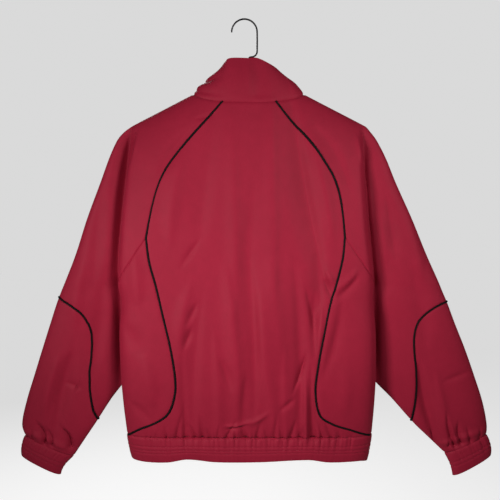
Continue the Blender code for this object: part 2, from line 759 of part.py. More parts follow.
def strip_along(name, line, normals, closed, finish):
    """A half-round strip of piping that lies on a seam; round a tube it clears the tight turns too."""
    lift = CLOTH / 2 + SEAM_GAP + (PIPING_TURN_LIFT if closed else PIPING_LIFT)
    shape = bmesh.new()
    shift = Vector((CENTRE_X, 0.0, 0.0))
    rings = []
    count = len(line)
    for index, (point, normal) in enumerate(zip(line, normals)):
        if closed:
            along = line[(index + 1) % count] - line[index - 1]
        else:
            along = line[min(index + 1, count - 1)] - line[max(index - 1, 0)]
        across = along.cross(normal).normalized()
        rings.append([shape.verts.new(point + shift + across * u * PIPING_WIDTH
                                      + normal * (lift + v * PIPING_HEIGHT)) for u, v in PIPING_PROFILE])
    sides = len(PIPING_PROFILE)
    for index in range(count if closed else count - 1):
        ring, following = rings[index], rings[(index + 1) % count]
        for k in range(sides):
            m = (k + 1) % sides
            shape.faces.new((ring[k], ring[m], following[m], following[k]))
    if not closed:
        shape.faces.new(rings[0])
        shape.faces.new(rings[-1])
    return add_object(name, finish_mesh(shape, name), finish)


def add_piping(panels, finish):
    """Piping over the back seams and round the elbow seams."""
    back = panels["back_panel"]
    for side, letter, column in ((LEFT, "l", 0), (RIGHT, "r", BACK_COLUMNS)):
        line = [row[column] for row in back.rows]
        normals = [row[column] for row in back.normals]
        line[0] = line[0].lerp(line[1], PIPING_TOP_TRIM)
        line[-1] = line[-1].lerp(line[-2], PIPING_FOOT_TRIM)
        strip_along("piping_back_" + letter, line, normals, False, finish)
        forearm = panels["forearm_" + letter]
        strip_along("piping_elbow_" + letter, forearm.rows[0][:-1], forearm.normals[0][:-1], True, finish)


def add_zip(finish):
    """Closed teeth between two narrow tapes, from below the collar's edge to the foot of the hem band."""
    line = zip_line()
    line[0] = line[0] + (line[1] - line[0]).normalized() * ZIP_TOP_DROP
    tape, thick, crest = ZIP_GAP_HALF - SEAM_GAP, TAPE_HALF_THICK, TEETH_HALF - TEETH_BEVEL
    profile = ((-tape, -thick), (tape, -thick), (tape, thick), (TEETH_HALF, thick), (crest, TEETH_RISE),
               (-crest, TEETH_RISE), (-TEETH_HALF, thick), (-tape, thick))
    shape = bmesh.new()
    rings = []
    for index, point in enumerate(line):
        along = (line[min(index + 1, len(line) - 1)] - line[max(index - 1, 0)]).normalized()
        out = Vector((1.0, 0.0, 0.0)).cross(along).normalized()
        out = out if out.y > 0 else -out
        centre = point + Vector((CENTRE_X, 0.0, 0.0))
        rings.append([shape.verts.new(centre + Vector((u, 0.0, 0.0)) + out * v) for u, v in profile])
    for ring, following in zip(rings, rings[1:]):
        for k in range(len(profile)):
            m = (k + 1) % len(profile)
            shape.faces.new((ring[k], ring[m], following[m], following[k]))
    shape.faces.new(rings[0])
    shape.faces.new(rings[-1])
    add_object("zip_tape", finish_mesh(shape, "zip_tape"), finish)
    return line


def box_mesh(shape, low, high):
    """Add a box between two corners."""
    made = bmesh.ops.create_cube(shape, size=1.0)["verts"]
    low, high = Vector(low), Vector(high)
    bmesh.ops.scale(shape, vec=high - low, verts=made)
    bmesh.ops.translate(shape, vec=(low + high) / 2, verts=made)


def join_parts(target, others, operation):
    """Boolean the other objects into the target and leave one plain mesh."""
    for other in others:
        modifier = target.modifiers.new("join", "BOOLEAN")
        modifier.operation = operation
        modifier.solver = "EXACT"
        modifier.object = other
    bpy.context.view_layer.update()
    evaluated = target.evaluated_get(bpy.context.evaluated_depsgraph_get())
    mesh = bpy.data.meshes.new_from_object(evaluated)
    target.modifiers.clear()
    target.data = mesh
    for other in others:
        bpy.data.objects.remove(other)


def box_object(name, low, high, finish):
    """One box as an object."""
    shape = bmesh.new()
    box_mesh(shape, low, high)
    return add_object(name, finish_mesh(shape, name), finish)


def add_slider(line, finish):
    """Slider at the top of the zip with its pull tab; the tab swings about X under the slider's bail."""
    top = line[0]
    along = (line[0] - line[1]).normalized()
    out = Vector((0.0, -along.z, along.y))
    out = out if out.y > 0 else -out
    half, bail = SLIDER_WIDTH / 2, BAIL_WIDTH / 2
    inside = -TAPE_HALF_THICK - SEAM_GAP
    outside = TEETH_RISE + SEAM_GAP
    face = outside + SLIDER_PLATE
    low, high = -(SLIDER_LENGTH - SLIDER_POST - SEAM_GAP), SLIDER_POST + SEAM_GAP
    bail_low, bail_high = -BAIL_SPAN - BAIL_TOP, -BAIL_TOP
    root, crest = face - WEB_SINK, face + BAIL_CLEAR + BAIL_BAR
    leg_top = crest - WEB_SINK / 2

    plate = box_object("zip_slider", (-half, outside, low), (half, face, high), finish)
    others = {
        "slider_back": ((-half, inside - SLIDER_PLATE, low), (half, inside, high)),
        "slider_web": ((-half, inside - WEB_SINK, SEAM_GAP), (half, outside + WEB_SINK, high)),
        "bail_foot": ((-bail, root, bail_low), (bail, leg_top, bail_low + BAIL_LEG)),
        "bail_head": ((-bail, root, bail_high - BAIL_LEG), (bail, leg_top, bail_high)),
        "bail_bar": ((-bail, face + BAIL_CLEAR, bail_low), (bail, crest, bail_high)),
    }
    join_parts(plate, [box_object(name, *corners, finish) for name, corners in others.items()], "UNION")
    turn = Matrix(((1, 0, 0), (0, out.y, along.y), (0, out.z, along.z))).to_4x4()
    place = Matrix.Translation(Vector((CENTRE_X, top.y, top.z)) * MM) @ turn
    plate.data.transform(place)
    add_pull(place @ (Vector((0.0, face + BAIL_CLEAR / 2, (bail_low + bail_high) / 2)) * MM), finish)


def add_pull(pivot, finish):
    """Pull tab that hangs down from its eye, with the eye's bar on the joint's axis."""
    half, eye, grip, thick = PULL_WIDTH / 2, EYE_WIDTH / 2, GRIP_WIDTH / 2, PULL_THICK
    grip_low, grip_high = GRIP_FOOT - PULL_LENGTH, GRIP_TOP - PULL_LENGTH
    tab = box_object("zip_pull", (-half, -thick / 2, -PULL_LENGTH), (half, thick / 2, PULL_BAR), finish)
    cutters = {
        "pull_eye": ((-eye, -thick, -EYE_FOOT), (eye, thick, -PULL_BAR)),
        "pull_grip": ((-grip, -thick, grip_low), (grip, thick, grip_high)),
    }
    join_parts(tab, [box_object(name, *corners, finish) for name, corners in cutters.items()], "DIFFERENCE")
    tab.location = pivot


def arc(centre, radius, start, end, count):
    """Plane points round an arc, its angles in degrees."""
    angles = [math.radians(start + (end - start) * step / count) for step in range(count + 1)]
    return [(centre[0] + radius * math.cos(angle), centre[1] + radius * math.sin(angle)) for angle in angles]


def hanger_line():
    """Middle line of the hanger's one wire, from the end twisted round the stem to the tip of the hook."""
    apex_z = SHOULDER_TOP_Z - HANGER_DROP

    def arm_z(x):
        return apex_z - SHOULDER_SLOPE * x

    line = twist_line(apex_z + TWIST_RISE)
    line += [Vector((-x, y, apex_z - drop)) for x, y, drop in TWIST_FOOT]
    slope_angle = math.degrees(math.atan(SHOULDER_SLOPE))
    bend_x = HANGER_TIP_X - HANGER_TIP_ROUND
    start = arc((bend_x, 0.0), HANGER_TIP_ROUND, 90 - slope_angle, 0, 1)[0]
    bend = arc((bend_x, arm_z(start[0]) - start[1]), HANGER_TIP_ROUND, 90 - slope_angle, -90, TIP_STEPS)
    arm = [(x, arm_z(x)) for x in ARM_PLACES] + bend
    line += [Vector((-x, 0.0, z)) for x, z in arm]
    line += [Vector((x, 0.0, z)) for x, z in arm[::-1]]
    line += [Vector((x, 0.0, apex_z - drop)) for x, drop in STEM_FOOT]
    line = [point + Vector((CENTRE_X, 0.0, 0.0)) for point in line]
    hook = [(CENTRE_X, apex_z + 2 * TWIST_RISE)]
    hook += arc((CENTRE_X + STEM_BEND, STEM_TOP_Z - STEM_BEND), STEM_BEND, 180, 90, STEM_STEPS)
    hook += arc((HOOK_RADIUS - SHANK_BEND, STEM_TOP_Z + SHANK_BEND), SHANK_BEND, -90, 0, SHANK_STEPS)
    hook += arc((0.0, WIRE / 2 - HOOK_RADIUS), HOOK_RADIUS, 0, HOOK_TURN, HOOK_STEPS)
    return line + [Vector((x, 0.0, z)) for x, z in hook]


def twist_line(low):
    """Turns of the wire's end round the stem, from the top down."""
    radius = WIRE + TWIST_CLEAR
    line = []
    for step in range(TWIST_TURNS * TWIST_STEPS + 1):
        turn = 2 * math.pi * step / TWIST_STEPS
        height = low + TWIST_PITCH * (TWIST_TURNS - step / TWIST_STEPS)
        line.append(Vector((-radius * math.cos(turn), radius * math.sin(turn), height)))
    return line


def add_hanger(finish):
    """The hanger, bent from one wire."""
    line = hanger_line()
    curve = bpy.data.curves.new("hanger", "CURVE")
    curve.dimensions = "3D"
    curve.bevel_depth = WIRE / 2 * MM
    curve.bevel_resolution = 2
    curve.use_fill_caps = True
    spline = curve.splines.new("POLY")
    spline.points.add(len(line) - 1)
    for place, point in zip(spline.points, line):
        place.co = (*(point * MM), 1.0)
    return add_object("hanger", curve, finish)


def main():
    """Build the jacket and its hanger."""
    for item in list(bpy.data.objects):
        bpy.data.objects.remove(item)
    crimson = ((0.36, 0.021, 0.045), 0.62, 0.0)
    black = ((0.012, 0.008, 0.010), 0.55, 0.0)
    metal = ((0.10, 0.10, 0.11), 0.35, 1.0)
    wire = ((0.03, 0.03, 0.035), 0.40, 1.0)

    panels = {"back_panel": Panel("back_panel", back_grid(), -1),
              "collar": Panel("collar", collar_grid(), 1),
              "hem_band": Panel("hem_band", hem_grid(), -1)}
    for side, letter in ((LEFT, "l"), (RIGHT, "r")):
        sleeve, armpit_row = sleeve_grid(side)
        panels["side_panel_" + letter] = Panel("side_panel_" + letter, side_grid(side), -side)
        panels["front_" + letter] = Panel("front_" + letter, front_grid(side), side)
        panels["sleeve_" + letter] = Panel("sleeve_" + letter, sleeve, -side, armpit_row)
        panels["forearm_" + letter] = Panel("forearm_" + letter, forearm_grid(side), -side, 0)
        panels["cuff_" + letter] = Panel("cuff_" + letter, cuff_grid(side), -side, 0)
    match_seams(panels.values())
    add_piping(panels, black)
    for panel in panels.values():
        panel.inset()
        add_panel(panel, crimson)
    add_slider(add_zip(black), metal)
    add_hanger(wire)


if __name__ == "__main__":
    main()
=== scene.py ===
"""Looks of a zip-up track jacket on a wire hanger: cloth with folds and gathers, piping, stitches, zip, wire.

Every piece of cloth is a thin shell on the form that its solid has in the frame. Lengths in the tables are
millimetres from the middle of the jacket, with heights (z) counted down from the hook's bearing point; +X is to
the right as the jacket is seen from behind, and its back faces -Y.
"""

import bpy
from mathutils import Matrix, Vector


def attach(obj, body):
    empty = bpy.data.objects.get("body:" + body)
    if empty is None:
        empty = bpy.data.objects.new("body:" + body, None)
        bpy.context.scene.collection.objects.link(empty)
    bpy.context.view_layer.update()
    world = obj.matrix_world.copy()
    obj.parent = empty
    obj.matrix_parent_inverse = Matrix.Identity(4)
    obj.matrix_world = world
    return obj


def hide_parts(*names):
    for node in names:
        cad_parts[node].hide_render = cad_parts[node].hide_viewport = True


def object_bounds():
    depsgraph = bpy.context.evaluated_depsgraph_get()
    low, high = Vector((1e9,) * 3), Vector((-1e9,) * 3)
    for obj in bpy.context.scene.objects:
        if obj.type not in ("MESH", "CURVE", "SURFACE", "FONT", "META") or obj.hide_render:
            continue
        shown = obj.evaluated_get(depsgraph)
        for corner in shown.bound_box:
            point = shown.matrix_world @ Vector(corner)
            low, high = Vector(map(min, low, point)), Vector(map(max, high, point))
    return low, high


bl_info = {
    "name": "Track Jacket on a Wire Hanger",
    "version": (1, 0, 0),
    "blender": (4, 5, 0),
    "location": "3D View > Sidebar > Jacket",
    "description": "Builds the cloth, trims, zip and hanger of a track jacket around its packed frame",
    "category": "Add Mesh",
}

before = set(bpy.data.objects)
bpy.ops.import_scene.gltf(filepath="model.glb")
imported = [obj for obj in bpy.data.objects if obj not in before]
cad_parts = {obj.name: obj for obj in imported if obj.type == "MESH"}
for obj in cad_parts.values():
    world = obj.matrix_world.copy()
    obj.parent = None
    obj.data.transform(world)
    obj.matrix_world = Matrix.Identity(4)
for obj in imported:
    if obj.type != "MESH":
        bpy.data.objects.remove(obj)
CAD_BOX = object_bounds()

import math
from contextlib import contextmanager
from functools import lru_cache

import bmesh
import bpy
import numpy as np
from bpy.props import FloatProperty, FloatVectorProperty, IntProperty, PointerProperty
from mathutils import Matrix, Vector

MM = 0.001
SIDES = LEFT, RIGHT = -1, 1
BACK, FRONT = -1, 1
LETTER = {LEFT: "l", RIGHT: "r"}

# ---- Pattern of the jacket ----

CENTRE_X = 7.5              # middle of the jacket from the hook's bearing point
HEM_SEAM_Z = -757.0
HEM_BAND = 45.0             # depth of the hem band
HEM_DRAW = 0.035            # share by which its foot is drawn in
CUFF_HALF = 9.5             # half the depth of a cuff's mouth
ARMPIT_Z = -472.0
SHOULDER_SLOPE = 0.51       # fall of the shoulders for each step outwards
SHOULDER_TOP_Z = -81.0      # where the two slopes would meet
SHOULDER_TIP_X = 212.0
SHOULDER_FOOT_Z = -201      # height from which the sleeve's own outer edge counts
NECK_SIDE_X = 99.0
SHOULDER_ROUND = 80.0       # depth over which the body swells out below the shoulders
LAYER_BLEND = 4.0           # how closely the upper sleeve follows the fuller of arm and body
SLEEVE_SQUARE = 2.6         # squareness of a sleeve's section, where 2 is an ellipse
CREASE_EASE = 12.0          # depth of cloth over which a crease gains its full height
CREASE_FADE = 0.9
CREASE_TAPER = 0.45         # share of its width that a crease has left where it runs out
ZIP_GAP_HALF = 5.0
COLLAR_SWELL = 5.0
COLLAR_HELD = 0.15          # share of the collar's height over which its bumps begin
SEAM_DIP = 1.6              # how far the stitches of a seam pull the cloth in, and over what distance
SEAM_REACH = 2.0
RUCHE_REACH = 8.0           # height over which the hem's small pleats run out into the cloth above it
RUCHE_SPAN = {BACK: (-192, 192, 0), FRONT: (-196, 196, 28)}         # from, to, and half the plain middle
BAND_FADE = 0.12            # share of the hem band over which the forms above it give way to its own
CUFF_FADE = 0.08
PLEATS_AT_FOOT = 0.12       # share of a band's pleats that its foot keeps
CHANNEL_DEPTH = 0.8         # dip along a row of stitches, and half its width as a share of the band
CHANNEL_HALF = 0.030
BAND_PUFF = 1.3

# Small pleats: each measure has a middle value and waves of (amount, rate, shift) from pleat to pleat.
HEM_PLEATS = {"depth": (1.9, (0.8, 1.7, 0.5)), "width": (2.6, (0.7, 2.9, 0.0)),
              "gap": (8.4, (2.3, 2.1, 0.0), (1.6, 0.83, 1.0))}
CUFF_PLEATS = {"depth": (0.75, (0.4, 1.9, 1.0)), "width": (2.2,),
               "gap": (6.8, (1.9, 2.3, 0.0), (1.0, 0.9, 0.0))}
FRONT_PHASE = 0.7           # the front's pleats start this far into their waves
HEM_PLEAT_START, CUFF_PLEAT_START, CUFF_PLEAT_END = 4.0, 3.0, 2.0

ELBOW_CORD = 1.75           # radius of the elbow's piping, and how far it stands off the cloth
ELBOW_CORD_LIFT = 0.6
STITCH_SIZE = (1.1, 0.26, 0.208)    # half a stitch's length, width and height
STITCH_REACH = 0.5          # how far ahead a line's direction is read
ZIP_TOP_DROP = 8.0
ZIP_FOOT_GAP = 1.0
TOOTH_PITCH = 1.5
TOOTH_SIZE = (3.4, 1.05, 1.9)       # across, along and out
TOOTH_BEVEL = 0.28
TOOTH_SHIFT = 1.05
TEETH_LIFT = 0.2
TAPE_HALF_SHOWN = 5.8
TAPE_CELLS = 8
TAPE_SINK = 0.9
TAPE_THICKNESS = 0.0006     # metres, as the next three are
METAL_ROUNDING = 0.00022
SAME_PLACE = 0.00005        # within this, the two ends of a closed grid are one
COPY_MERGE = 0.00001

FLAT_ANGLE, BEVEL_ANGLE, QUAD_ANGLE = 0.5, 35, 40       # degrees

# Rungs: steps down the raglan seams, the armholes' lower parts, the shoulder and the eased neck
RAGLAN_RUNGS, GUSSET_RUNGS, SHOULDER_RUNGS, NECK_EASE_RUNGS = 11, 3, 5, 3
SIDE_STEPS, SIDE_EASE_STEPS = 13, 4
EDGE_STEPS, ARM_STEPS, CURVE_STEPS = 40, 100, 16

CAMERA_PLACE = (0.0101, -0.9842, -0.3490)       # metres
CAMERA_TILT = 86.3                              # degrees
FLOOR_HALF = 12.0
FLOOR_GREY = 0.80
LAMPS = {                   # place and goal in metres, size in metres and spread in degrees
    "key": ((-0.66, -0.78, -0.39), (0.47, 0.0, -0.55), 0.26, 94),
    "fill": ((0.66, -0.78, -0.14), (-0.34, 0.0, -0.46), 0.26, 98),
    "rear": ((-0.7, 1.9, 0.7), (0.0, 0.0, -0.42), 1.4, 180),
}

# The body: half of it swells back and half to the front.
BODY_COLUMNS = ("z", "left", "right", "back", "front", "middle", "square_back", "square_front")
BODY = [
    (-131, -226, 221, 38, 32, 0, 6.0, 6.0),
    (-195, -223, 218, 38, 32, 0, 7.0, 6.0),
    (-260, -224, 212, 38, 32, 0, 10.0, 4.6),
    (-350, -234, 217, 38, 33, 1, 13.0, 3.4),
    (-420, -240, 226, 37, 33, 2, 14.0, 3.0),
    (-472, -241, 231, 36, 33, 2, 14.0, 2.8),
    (-510, -235, 230, 36, 33, 2, 13.0, 2.8),
    (-560, -239, 235, 36, 33, 2, 12.0, 2.8),
    (-640, -238, 237, 35, 32, 2, 11.0, 2.8),
    (-700, -234, 235, 33, 30, 2, 9.0, 2.8),
    (-757, -228, 231, 30, 27, 2, 7.0, 2.8),
]

# Where the sleeve tucks in behind the body's edge, and by how much it lies deeper there.
TUCK_COLUMNS = ("z", "left", "right", "depth_left", "depth_right")
TUCK = [
    (-195, -201, 200, 0.0, 0.0),
    (-216, -203, 201, 10.0, 4.0),
    (-244, -208, 204, 13.0, 6.5),
    (-290, -219, 211, 12.0, 7.5),
    (-350, -226, 217, 8.5, 8.5),
    (-420, -232, 225, 7.0, 9.5),
    (-472, -238, 231, 12.0, 12.0),
]
TUCK_WALL = 3.2             # width of the step down to it

# The sleeves: outer edge, inner edge, y of each edge and half the depth between the two layers.
SLEEVE_COLUMNS = ("z", "outer_left", "outer_right", "inner_left", "inner_right", "y_inner", "y_outer",
                  "half")
SLEEVE = [
    (-131, -99, 99, -99, 99, 0, 0, 0.0),
    (-189, -212, 212, -204, 199, 0, 0, 3.0),
    (-195, -221, 217, -205, 200, 0, 0, 4.5),
    (-201, -228, 223, -205, 200, 0, 1, 6.0),
    (-213, -238, 232, -206, 201, 0, 1, 7.5),
    (-244, -253, 249, -209, 203, 0, 2, 10.0),
    (-288, -270, 268, -214, 206, 0, 3, 12.0),
    (-354, -296, 299, -221, 210, 1, 4, 14.0),
    (-421, -319, 328, -230, 219, 2, 5, 15.0),
    (-472, -340, 352, -241, 231, 14, 6, 15.0),
    (-490, -348, 360, -239, 231, 15, 7, 15.0),
    (-510, -356, 369, -232, 227, 17, 7, 15.5),
    (-550, -370, 385, -226, 222, 22, 8, 16.0),
    (-600, -387, 406, -219, 216, 25, 9, 16.0),
    (-648, -403, 424, -227, 228, 25, 10, 15.5),
    (-700, -420, 442, -264, 276, 22, 11, 15.0),
    (-745, -430, 452, -293, 316, 19, 12, 14.0),
    (-770, -424, 452, -310, 342, 18, 13, 13.5),
    (-812, -420, 452, -338, 386, 17, 13, 13.0),
]

# Seam under each line of piping, from the collar to the side of the hem.
BACK_SEAM = {
    LEFT: [(-46, -148), (-74, -180), (-101, -210), (-125, -238), (-144, -264), (-158, -292), (-168, -323),
           (-176, -358), (-182, -390), (-177, -432), (-166, -474), (-153, -532), (-141, -586), (-133, -640),
           (-134, -676), (-146, -709), (-169, -727), (-200, -741), (-224, -757)],
    RIGHT: [(48, -148), (71, -177), (97, -205), (116, -228), (133, -253), (150, -281), (161, -313),
            (167, -348), (171, -388), (168, -424), (159, -464), (146, -510), (137, -558), (126, -620),
            (121, -668), (129, -711), (152, -729), (188, -742), (226, -757)],
}
RAGLAN_POINTS = 9           # of those, how many lie on the sleeve's own seam

FRONT_SEAM = {
    LEFT: [(-56, -184), (-104, -228), (-146, -284), (-182, -352), (-212, -420), (-241, -472)],
    RIGHT: [(56, -184), (103, -228), (143, -284), (177, -352), (205, -420), (231, -472)],
}

NECK_BACK = [(0, -150), (25, -149.5), (48, -148), (66, -145), (82, -141), (93, -136), (99, -131.5)]
NECK_FRONT = [(0, -216), (30, -206), (56, -184), (78, -160), (92, -142), (99, -131.5)]
NECK_COLUMNS = ("x", "z")

# Top edge of the collar from the middle of the back (0) round to the zip (1).
COLLAR_COLUMNS = ("round", "left_x", "left_y", "left_z", "right_x", "right_y", "right_z")
COLLAR_TOP = [
    (0.00, 0, -20, -72.5, 0, -20, -72.5),
    (0.12, -30, -19, -72.5, 17, -19, -71.5),
    (0.24, -41, -14, -78, 34, -15, -80),
    (0.36, -50, -4, -87, 52, -6, -90),
    (0.48, -61, 8, -99, 66, 6, -103),
    (0.60, -66, 20, -112, 66, 19, -114),
    (0.74, -52, 31, -128, 50, 31, -129),
    (0.88, -26, 38, -139, 26, 38, -139),
    (1.00, -5, 40, -143, 5, 40, -143),
]

# Where round the sleeve the elbow seam lies: across from the inner edge (0) to the outer edge (1), and down
# from the armpit (0) to the cuff (1).
ELBOW_COLUMNS = ("across", "down_left", "down_right")
ELBOW = [
    (0.00, 0.770, 0.772),
    (0.06, 0.747, 0.742),
    (0.12, 0.722, 0.714),
    (0.20, 0.675, 0.673),
    (0.30, 0.608, 0.613),
    (0.37, 0.548, 0.562),
    (0.42, 0.495, 0.515),
    (0.45, 0.415, 0.484),
    (0.47, 0.310, 0.457),
    (0.50, 0.252, 0.391),
    (0.53, 0.228, 0.305),
    (0.57, 0.201, 0.244),
    (0.64, 0.172, 0.205),
    (0.76, 0.142, 0.165),
    (0.90, 0.118, 0.138),
    (1.00, 0.100, 0.130),
]
ARM_END_Z = {LEFT: (-808.0, -766.0), RIGHT: (-802.0, -764.0)}       # inner and outer end of the cuff's seam
CUFF_CORNERS = {LEFT: ((-432, -804), (-360, -842)), RIGHT: ((461, -803), (391, -844))}     # outer, inner

# Creases. Each runs from its upper to its lower end, bows to the right by the given amount, and has a half
# width on its left and on its right; it stands out by its rise (or lies in, when negative), of which the
# given share is left at its start and at its end. A crisp one has a sharper line.
# Columns: x0, z0, x1, z1, bow, left, right, rise, start, end, crisp
TUCK_CREASES = [            # below the hanger's tips, where the sleeves tuck in behind the body's edge
    (-212, -190, -243, -476, -4, 13, 3, -15.0, 0.7, 0.3, 0.3),
    (206, -190, 234, -476, -4, 3, 5, -9.0, 0.4, 0.9, 0.2),
    (220, -204, 254, -480, -4, 9, 20, -4.2, 0.1, 0.5, 0.0),
    (-204, -212, -230, -468, -3, 4, 13, 2.6, 0.2, 0.6, 0.2),
    (197, -212, 221, -468, -3, 13, 4, 2.6, 0.2, 0.6, 0.2),
]
BACK_CREASES = TUCK_CREASES + [
    (194, -206, 204, -264, 0, 4, 4, 3.0, 0.0, 0.0, 0.4),
    (197, -230, 214, -440, -4, 14, 8, 3.6, 0.2, 0.1, 0.0),
    # Upper back
    (78, -160, 136, -462, -4, 25, 12, -13.5, 0.35, 0.3, 0.5),
    (122, -430, 128, -610, 3, 18, 9, -6.0, 0.2, 0.1, 0.1),
    (41, -156, 46, -500, 0, 20, 12, 4.4, 0.4, 0.1, 0.0),
    (112, -210, 150, -400, 4, 11, 12, 4.0, 0.1, 0.1, 0.0),
    (-58, -170, -88, -400, -4, 26, 18, -5.0, 0.2, 0.1, 0.0),
    (-30, -190, -24, -520, 3, 17, 13, 4.1, 0.1, 0.4, 0.0),
    (40, -420, 60, -640, -3, 30, 18, 6.0, 0.1, 0.1, 0.0),
    (8, -300, -2, -540, -4, 13, 17, -3.6, 0.1, 0.3, 0.0),
    (-112, -230, -140, -400, -6, 16, 14, 4.3, 0.1, 0.1, 0.0),
    (-96, -179, -64, -173, 0, 5, 3, -3.5, 0.1, 0.6, 0.6),
    (-100, -196, -158, -275, -4, 9, 16, -5.5, 0.2, 0.1, 0.1),
    (120, -196, 176, -300, 8, 16, 9, -4.3, 0.2, 0.1, 0.1),
    # Lower back
    (-40, -450, -16, -740, 5, 17, 12, 5.6, 0.2, 0.3, 0.0),
    (22, -500, 54, -757, -6, 12, 17, 5.6, 0.2, 0.4, 0.0),
    (2, -430, 10, -700, 4, 13, 10, -5.0, 0.1, 0.3, 0.0),
    (-4, -640, -12, -757, -3, 9, 12, -4.4, 0.1, 0.5, 0.1),
    (82, -440, 93, -757, 6, 12, 15, -6.8, 0.2, 0.5, 0.1),
    (-84, -500, -101, -750, -6, 19, 12, -5.7, 0.1, 0.5, 0.1),
    (-62, -560, -56, -757, 4, 9, 13, 3.6, 0.1, 0.4, 0.0),
    (66, -590, 70, -757, -2, 8, 12, 3.4, 0.1, 0.4, 0.0),
    (-52, -610, -30, -668, 2, 7, 11, -3.5, 0.1, 0.1, 0.2),
    (-86, -392, -120, -440, 0, 6, 4, -3.9, 0.1, 0.2, 0.6),
    (-104, -474, -124, -594, -5, 13, 12, 4.1, 0.1, 0.1, 0.0),
    (-92, -506, -112, -548, 0, 6, 5, -3.6, 0.1, 0.1, 0.4),
    (-102, -552, -117, -590, 0, 7, 5, -4.5, 0.1, 0.1, 0.4),
    (-120, -600, -117, -735, 0, 9, 9, -3.3, 0.1, 0.5, 0.1),
    # Folds where the right seam kinks
    (138, -446, 151, -472, 0, 5, 6, 5.0, 0.1, 0.3, 0.5),
    (194, -446, 158, -480, 2, 5, 7, 6.0, 0.1, 0.4, 0.5),
    (136, -462, 150, -498, 0, 5, 5, -6.1, 0.1, 0.3, 0.4),
    (196, -458, 160, -496, 2, 5, 5, -6.5, 0.1, 0.3, 0.4),
    (226, -462, 214, -472, 0, 3, 3, -2.6, 0.6, 0.1, 0.5),
    (102, -478, 118, -556, 2, 6, 10, -5.4, 0.1, 0.2, 0.3),
    (118, -494, 118, -600, 0, 8, 8, -4.0, 0.2, 0.2, 0.1),
    (132, -510, 126, -600, 0, 7, 6, 6.1, 0.1, 0.1, 0.1),
    (167, -498, 133, -645, 6, 7, 10, -6.5, 0.1, 0.2, 0.3),
    (176, -508, 150, -640, 6, 8, 16, -1.5, 0.1, 0.1, 0.0),
    (104, -600, 81, -668, 2, 5, 4, -5.7, 0.1, 0.2, 0.6),
    (84, -682, 57, -703, 0, 4, 4, -4.8, 0.1, 0.1, 0.6),
    (113, -622, 115, -757, 0, 7, 6, -7.5, 0.1, 0.9, 0.2),
    (103, -640, 104, -757, 0, 7, 6, 7.0, 0.1, 0.6, 0.1),
    (38, -706, -43, -732, 9, 4, 5, 6.1, 0.1, 0.1, 0.5),
    (18, -719, -38, -739, 3, 4, 5, -5.2, 0.1, 0.3, 0.5),
    # Side panels
    (-204, -412, -198, -510, 0, 14, 12, 4.1, 0.2, 0.2, 0.0),
    (-226, -545, -188, -604, 0, 14, 16, -3.8, 0.2, 0.1, 0.0),
    (-190, -600, -176, -700, 4, 16, 14, 4.3, 0.1, 0.1, 0.0),
    (-214, -690, -176, -728, 2, 10, 8, -3.0, 0.2, 0.3, 0.0),
    (222, -500, 222, -740, 0, 34, 10, 3.4, 0.2, 0.2, 0.0),
    (176, -620, 172, -716, 2, 14, 14, 2.6, 0.1, 0.1, 0.0),
]
FRONT_CREASES = [
    (-214, -196, -236, -440, -3, 16, 12, -6.0, 0.3, 0.1, 0.1),
    (210, -196, 224, -440, -4, 12, 15, -5.5, 0.3, 0.1, 0.1),
    (-76, -205, -92, -470, -6, 16, 12, 3.8, 0.1, 0.3, 0.0),
    (-104, -260, -140, -500, -8, 13, 12, -4.4, 0.1, 0.2, 0.2),
    (70, -205, 96, -460, 8, 12, 16, 3.6, 0.1, 0.3, 0.0),
    (110, -250, 136, -520, 6, 12, 13, -4.2, 0.1, 0.2, 0.2),
    (-36, -320, -34, -757, 3, 13, 12, -3.6, 0.2, 0.5, 0.0),
    (-64, -470, -70, -757, -3, 13, 14, 4.4, 0.2, 0.5, 0.0),
    (38, -300, 33, -757, -3, 12, 13, -3.4, 0.2, 0.5, 0.0),
    (62, -480, 70, -757, 4, 14, 13, 4.2, 0.2, 0.5, 0.0),
    (-108, -530, -104, -757, 2, 10, 9, -4.4, 0.1, 0.7, 0.2),
    (-146, -500, -138, -757, -4, 14, 12, 3.4, 0.1, 0.5, 0.0),
    (104, -560, 100, -757, -2, 9, 10, -4.2, 0.1, 0.7, 0.2),
    (146, -500, 142, -757, 4, 12, 14, 3.2, 0.1, 0.5, 0.0),
    (-170, -560, -176, -757, 0, 9, 9, -3.0, 0.1, 0.4, 0.1),
    (176, -600, 172, -757, 0, 9, 9, -2.8, 0.1, 0.4, 0.1),
    (-212, -474, -150, -520, 3, 5, 8, -2.6, 0.6, 0.1, 0.4),
    (206, -474, 148, -526, -3, 8, 5, -2.8, 0.6, 0.1, 0.4),
    (-118, -600, -92, -672, 2, 4, 5, -2.2, 0.1, 0.1, 0.5),
    (124, -640, 96, -700, -2, 5, 4, -2.4, 0.1, 0.1, 0.5),
]
BODY_CREASES = {BACK: BACK_CREASES, FRONT: FRONT_CREASES}
